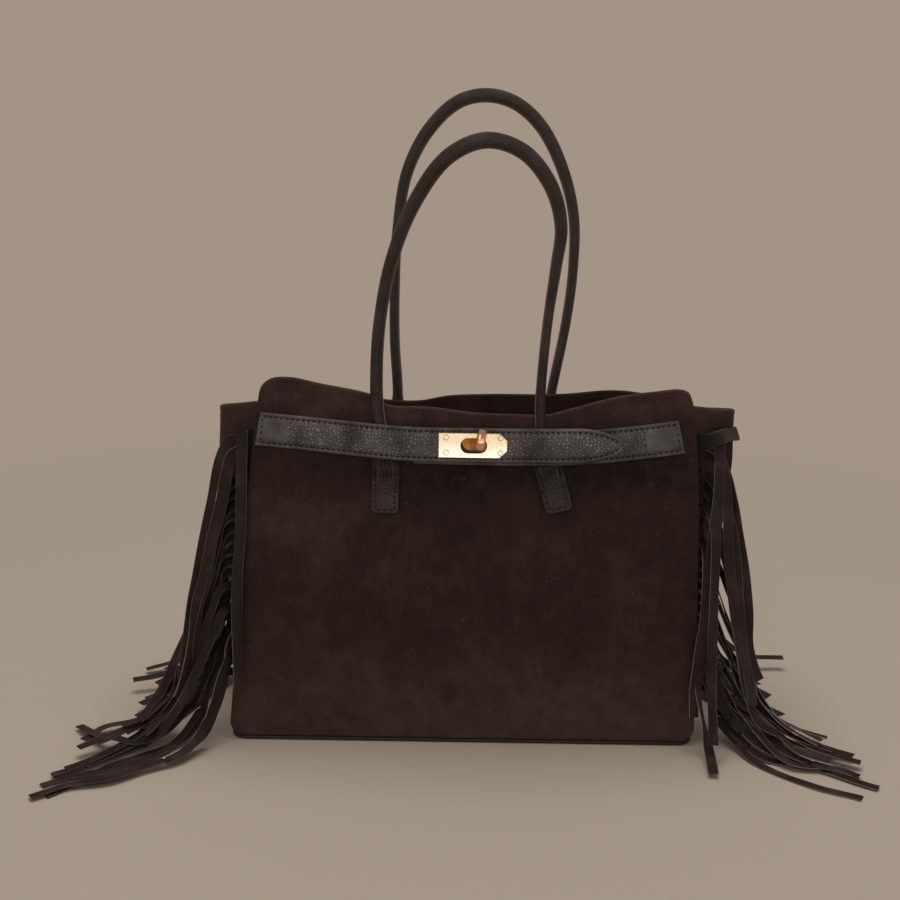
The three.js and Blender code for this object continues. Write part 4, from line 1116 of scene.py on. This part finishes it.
# Bull hide, shrunk so that its grain stands up in pebbles about 3 mm across, dyed black brown.
grained_hide = leather("shrunken_grain_bull_hide", "#1B1819", "#4B4748", "#858183", 2.9, 0.5, 0.28)
under_centre = [(178.4, on_panel, 8.3), (146, on_panel - 0.3, 3.6), (112, on_panel - 3.5, 0),
                (84, over_leg + 1.4, -1.4), (60, over_leg, -2), (20, over_leg, -2.4), (-12, over_leg, -2.2),
                (-44, over_leg, -1.6)]
under_piece = strap_surface("lower_belt_strap", under_centre, under_width, 230, [3.2, 31], 3.0)
under_stitches = belt_stitches(
    "lower_belt_stitches", under_centre, under_row, (0.0137, 0.97), (0.0137, 0.136))
fit(under_piece, grained_hide, ["under_strap"])
fit(under_stitches, black_thread)


# Upper strap. The same leather, sewn to the left end of the wall and sagging across the handles to a
# rounded point on the right. The lock plate is screwed to it, and its slot goes through.
upper_centre = [(-174, on_panel, 9.7), (-140, on_panel - 0.3, 7), (-108, on_panel - 3.5, 4.5),
                (-76, over_leg - 1.2, 2.4), (-48, upper_middle + 1, 0.8), (-23, upper_middle, 0.6),
                (5, upper_middle, 0.6), (34, upper_middle, 0.6), (62, upper_middle, 0.9),
                (90, upper_middle + 1, 1.3), (129, upper_middle + 1.6, 2)]
tip_start = 0.91


def upper_width(u):
    """Half the strap's width: full, and from 0.91 of its length x sqrt(1 - taper to the power 1.5)."""
    taper = np.clip((u - tip_start) / (1 - tip_start), 0, 1)
    return np.maximum(1.5, strap_width / 2 * np.sqrt(np.clip(1 - taper ** 1.5, 0, 1)))


def upper_row(u):
    """How far the upper strap's rows of stitches are from its middle: they meet 3.3 mm before the tip."""
    taper = np.clip((u - tip_start) / 0.079, 0, 1)
    return (strap_width / 2 - belt_inset) * np.sqrt(1 - taper ** 1.5)


upper_piece = strap_surface("upper_belt_strap", upper_centre, upper_width, 260, [3.2, 24], -2.6)


def prism(outline, from_y, to_y):
    """A straight body through a flat outline of (x, z), between two depths in the belt's frame."""
    return turned(np.array([np.insert(outline, 1, y, axis=1) for y in (from_y, to_y)]))


def disc(x, z, across, steps, from_y, to_y):
    """A round prism, such as a post or the tool that makes a hole."""
    return prism(rounded_box(across, across, across / 2, steps) + (x, z), from_y, to_y)


def cut_through(piece, cutters):
    """Cuts prisms out of a piece, exactly, and leaves the result as its mesh."""
    for points, faces in cutters:
        tool = put_mesh("cutter", on_belt(points), faces)
        cut = piece.modifiers.new("cut", "BOOLEAN")
        cut.operation = "DIFFERENCE"
        cut.solver = "EXACT"
        cut.object = tool
        done = bpy.data.meshes.new_from_object(piece.evaluated_get(bpy.context.evaluated_depsgraph_get()))
        piece.modifiers.clear()
        piece.data = done
        bpy.data.objects.remove(tool)
    return piece


slot_length, slot_height, slot_middle, lock_height = 22, 12.8, 5.4, 0.6
screw_places, screw_hole = [(-17.2, 6.6), (-17.2, -5.8), (27.2, 6.6), (27.2, -5.8)], 2.6
post_x, post_z, post_hole = 12, 3, 5.6
slot = rounded_box(slot_length, slot_height, slot_height / 2, 48) + (slot_middle, lock_height)
cut_through(upper_piece, [
    prism(slot, upper_middle + 3, upper_middle - 3),
    *[disc(x, z + lock_height, screw_hole, 20, upper_middle + 3, upper_middle - 3) for x, z in screw_places]])
cut_through(under_piece, [disc(post_x, post_z, post_hole, 32, over_leg + 3, over_leg - 3)])
upper_stitches = belt_stitches(
    "upper_belt_stitches", upper_centre, upper_row, (0.0107, 0.988), (0.0107, 0.0785))
fit(upper_piece, grained_hide, ["closure_strap"])
fit(upper_stitches, black_thread)


# Turn lock. Plates, screws and washer are stamped brass with a pale gold plating, polished, and keep
# their own solids. The knob is one cast eye on a post that goes back through both straps.
def plated_brass(name, colour, tint, roughness):
    """Polished plating: a mirror with a slightly uneven surface and fine hairlines that soften it."""
    material, tree, place = new_material(name)
    stretch = add(tree, "Mapping", {"Vector": place, "Scale": (0.15, 1.0, 1.0)})
    hairlines = noise(tree, stretch, 2600, 2.0)
    waves = noise(tree, place, 120, 1.0)
    gloss = remap(tree, hairlines, 0.3, 0.7, roughness - 0.03, roughness + 0.05)
    surface(tree, ramp(tree, waves, (0.35, tint), (0.65, colour)), gloss, scaled(tree, waves, 1.5, hairlines),
            0.000004, 0.5, {"Metallic": 1.0})
    return material


pale_gold = plated_brass("polished_pale_gold_plating", "#FBF3DF", "#F7EACF", 0.07)
dress(pale_gold, "lock_plate", "lock_back_plate", "turn_washer", *[f"plate_screw_{i}" for i in (1, 2, 3, 4)])
# The turning half's base plate is only brushed, and its colour is darkened to amber as painted shade, for the
# dim inside of the slot through which it shows.
amber_shade_brass = plated_brass("brass_painted_amber_shade", "#BC7F40", "#7E4A20", 0.4)
dress(amber_shade_brass, "turn_base")
rose_gold = plated_brass("polished_rose_gold_plating", "#F2CDB0", "#E3B08C", 0.13)
eye_reach, eye_length, eye_width = 11.5, 18.4, 7.0
opening_reach, opening_length = 6.2, 12.0
eye_foot = -20.8
eye_x, eye_middle, eye_z = post_x - 1, eye_foot - eye_reach / 2, post_z + 2.6
knob_lean = math.radians(12)
# The eye is a ring: an oval turn, and a section squared off a little between the opening and the rim.
turn, section = all_round(96), all_round(32)
outer = np.stack([np.cos(turn) * eye_reach / 2, np.sin(turn) * eye_length / 2], -1)
inner = np.stack([np.cos(turn) * opening_reach / 2, np.sin(turn) * opening_length / 2], -1)
c, s = powered(np.cos(section), 0.8), powered(np.sin(section), 0.8)
band = inner[:, None] + (outer - inner)[:, None] * ((c[None, :, None] + 1) / 2)
level = eye_width / 2 * s[None] + 0 * band[..., 0]
eye_rings = np.stack([
    eye_x + level * math.cos(knob_lean) + band[..., 1] * math.sin(knob_lean), eye_middle - band[..., 0],
    eye_z - level * math.sin(knob_lean) + band[..., 1] * math.cos(knob_lean)], -1)
index = np.pad(np.arange(96 * 32).reshape(96, 32), (0, 1), "wrap")
ring = (eye_rings.reshape(-1, 3), [quads(index)])
post = disc(post_x, post_z, 4.8, 32, eye_foot - 1.4, -8.7)
collar = disc(post_x, post_z, 8.4, 32, -8.8, -7.8)
eye = joined("turn_eye", [(on_belt(points), faces) for points, faces in (ring, post, collar)])
fit(eye, rose_gold, ["turn_knob"], body="knob")
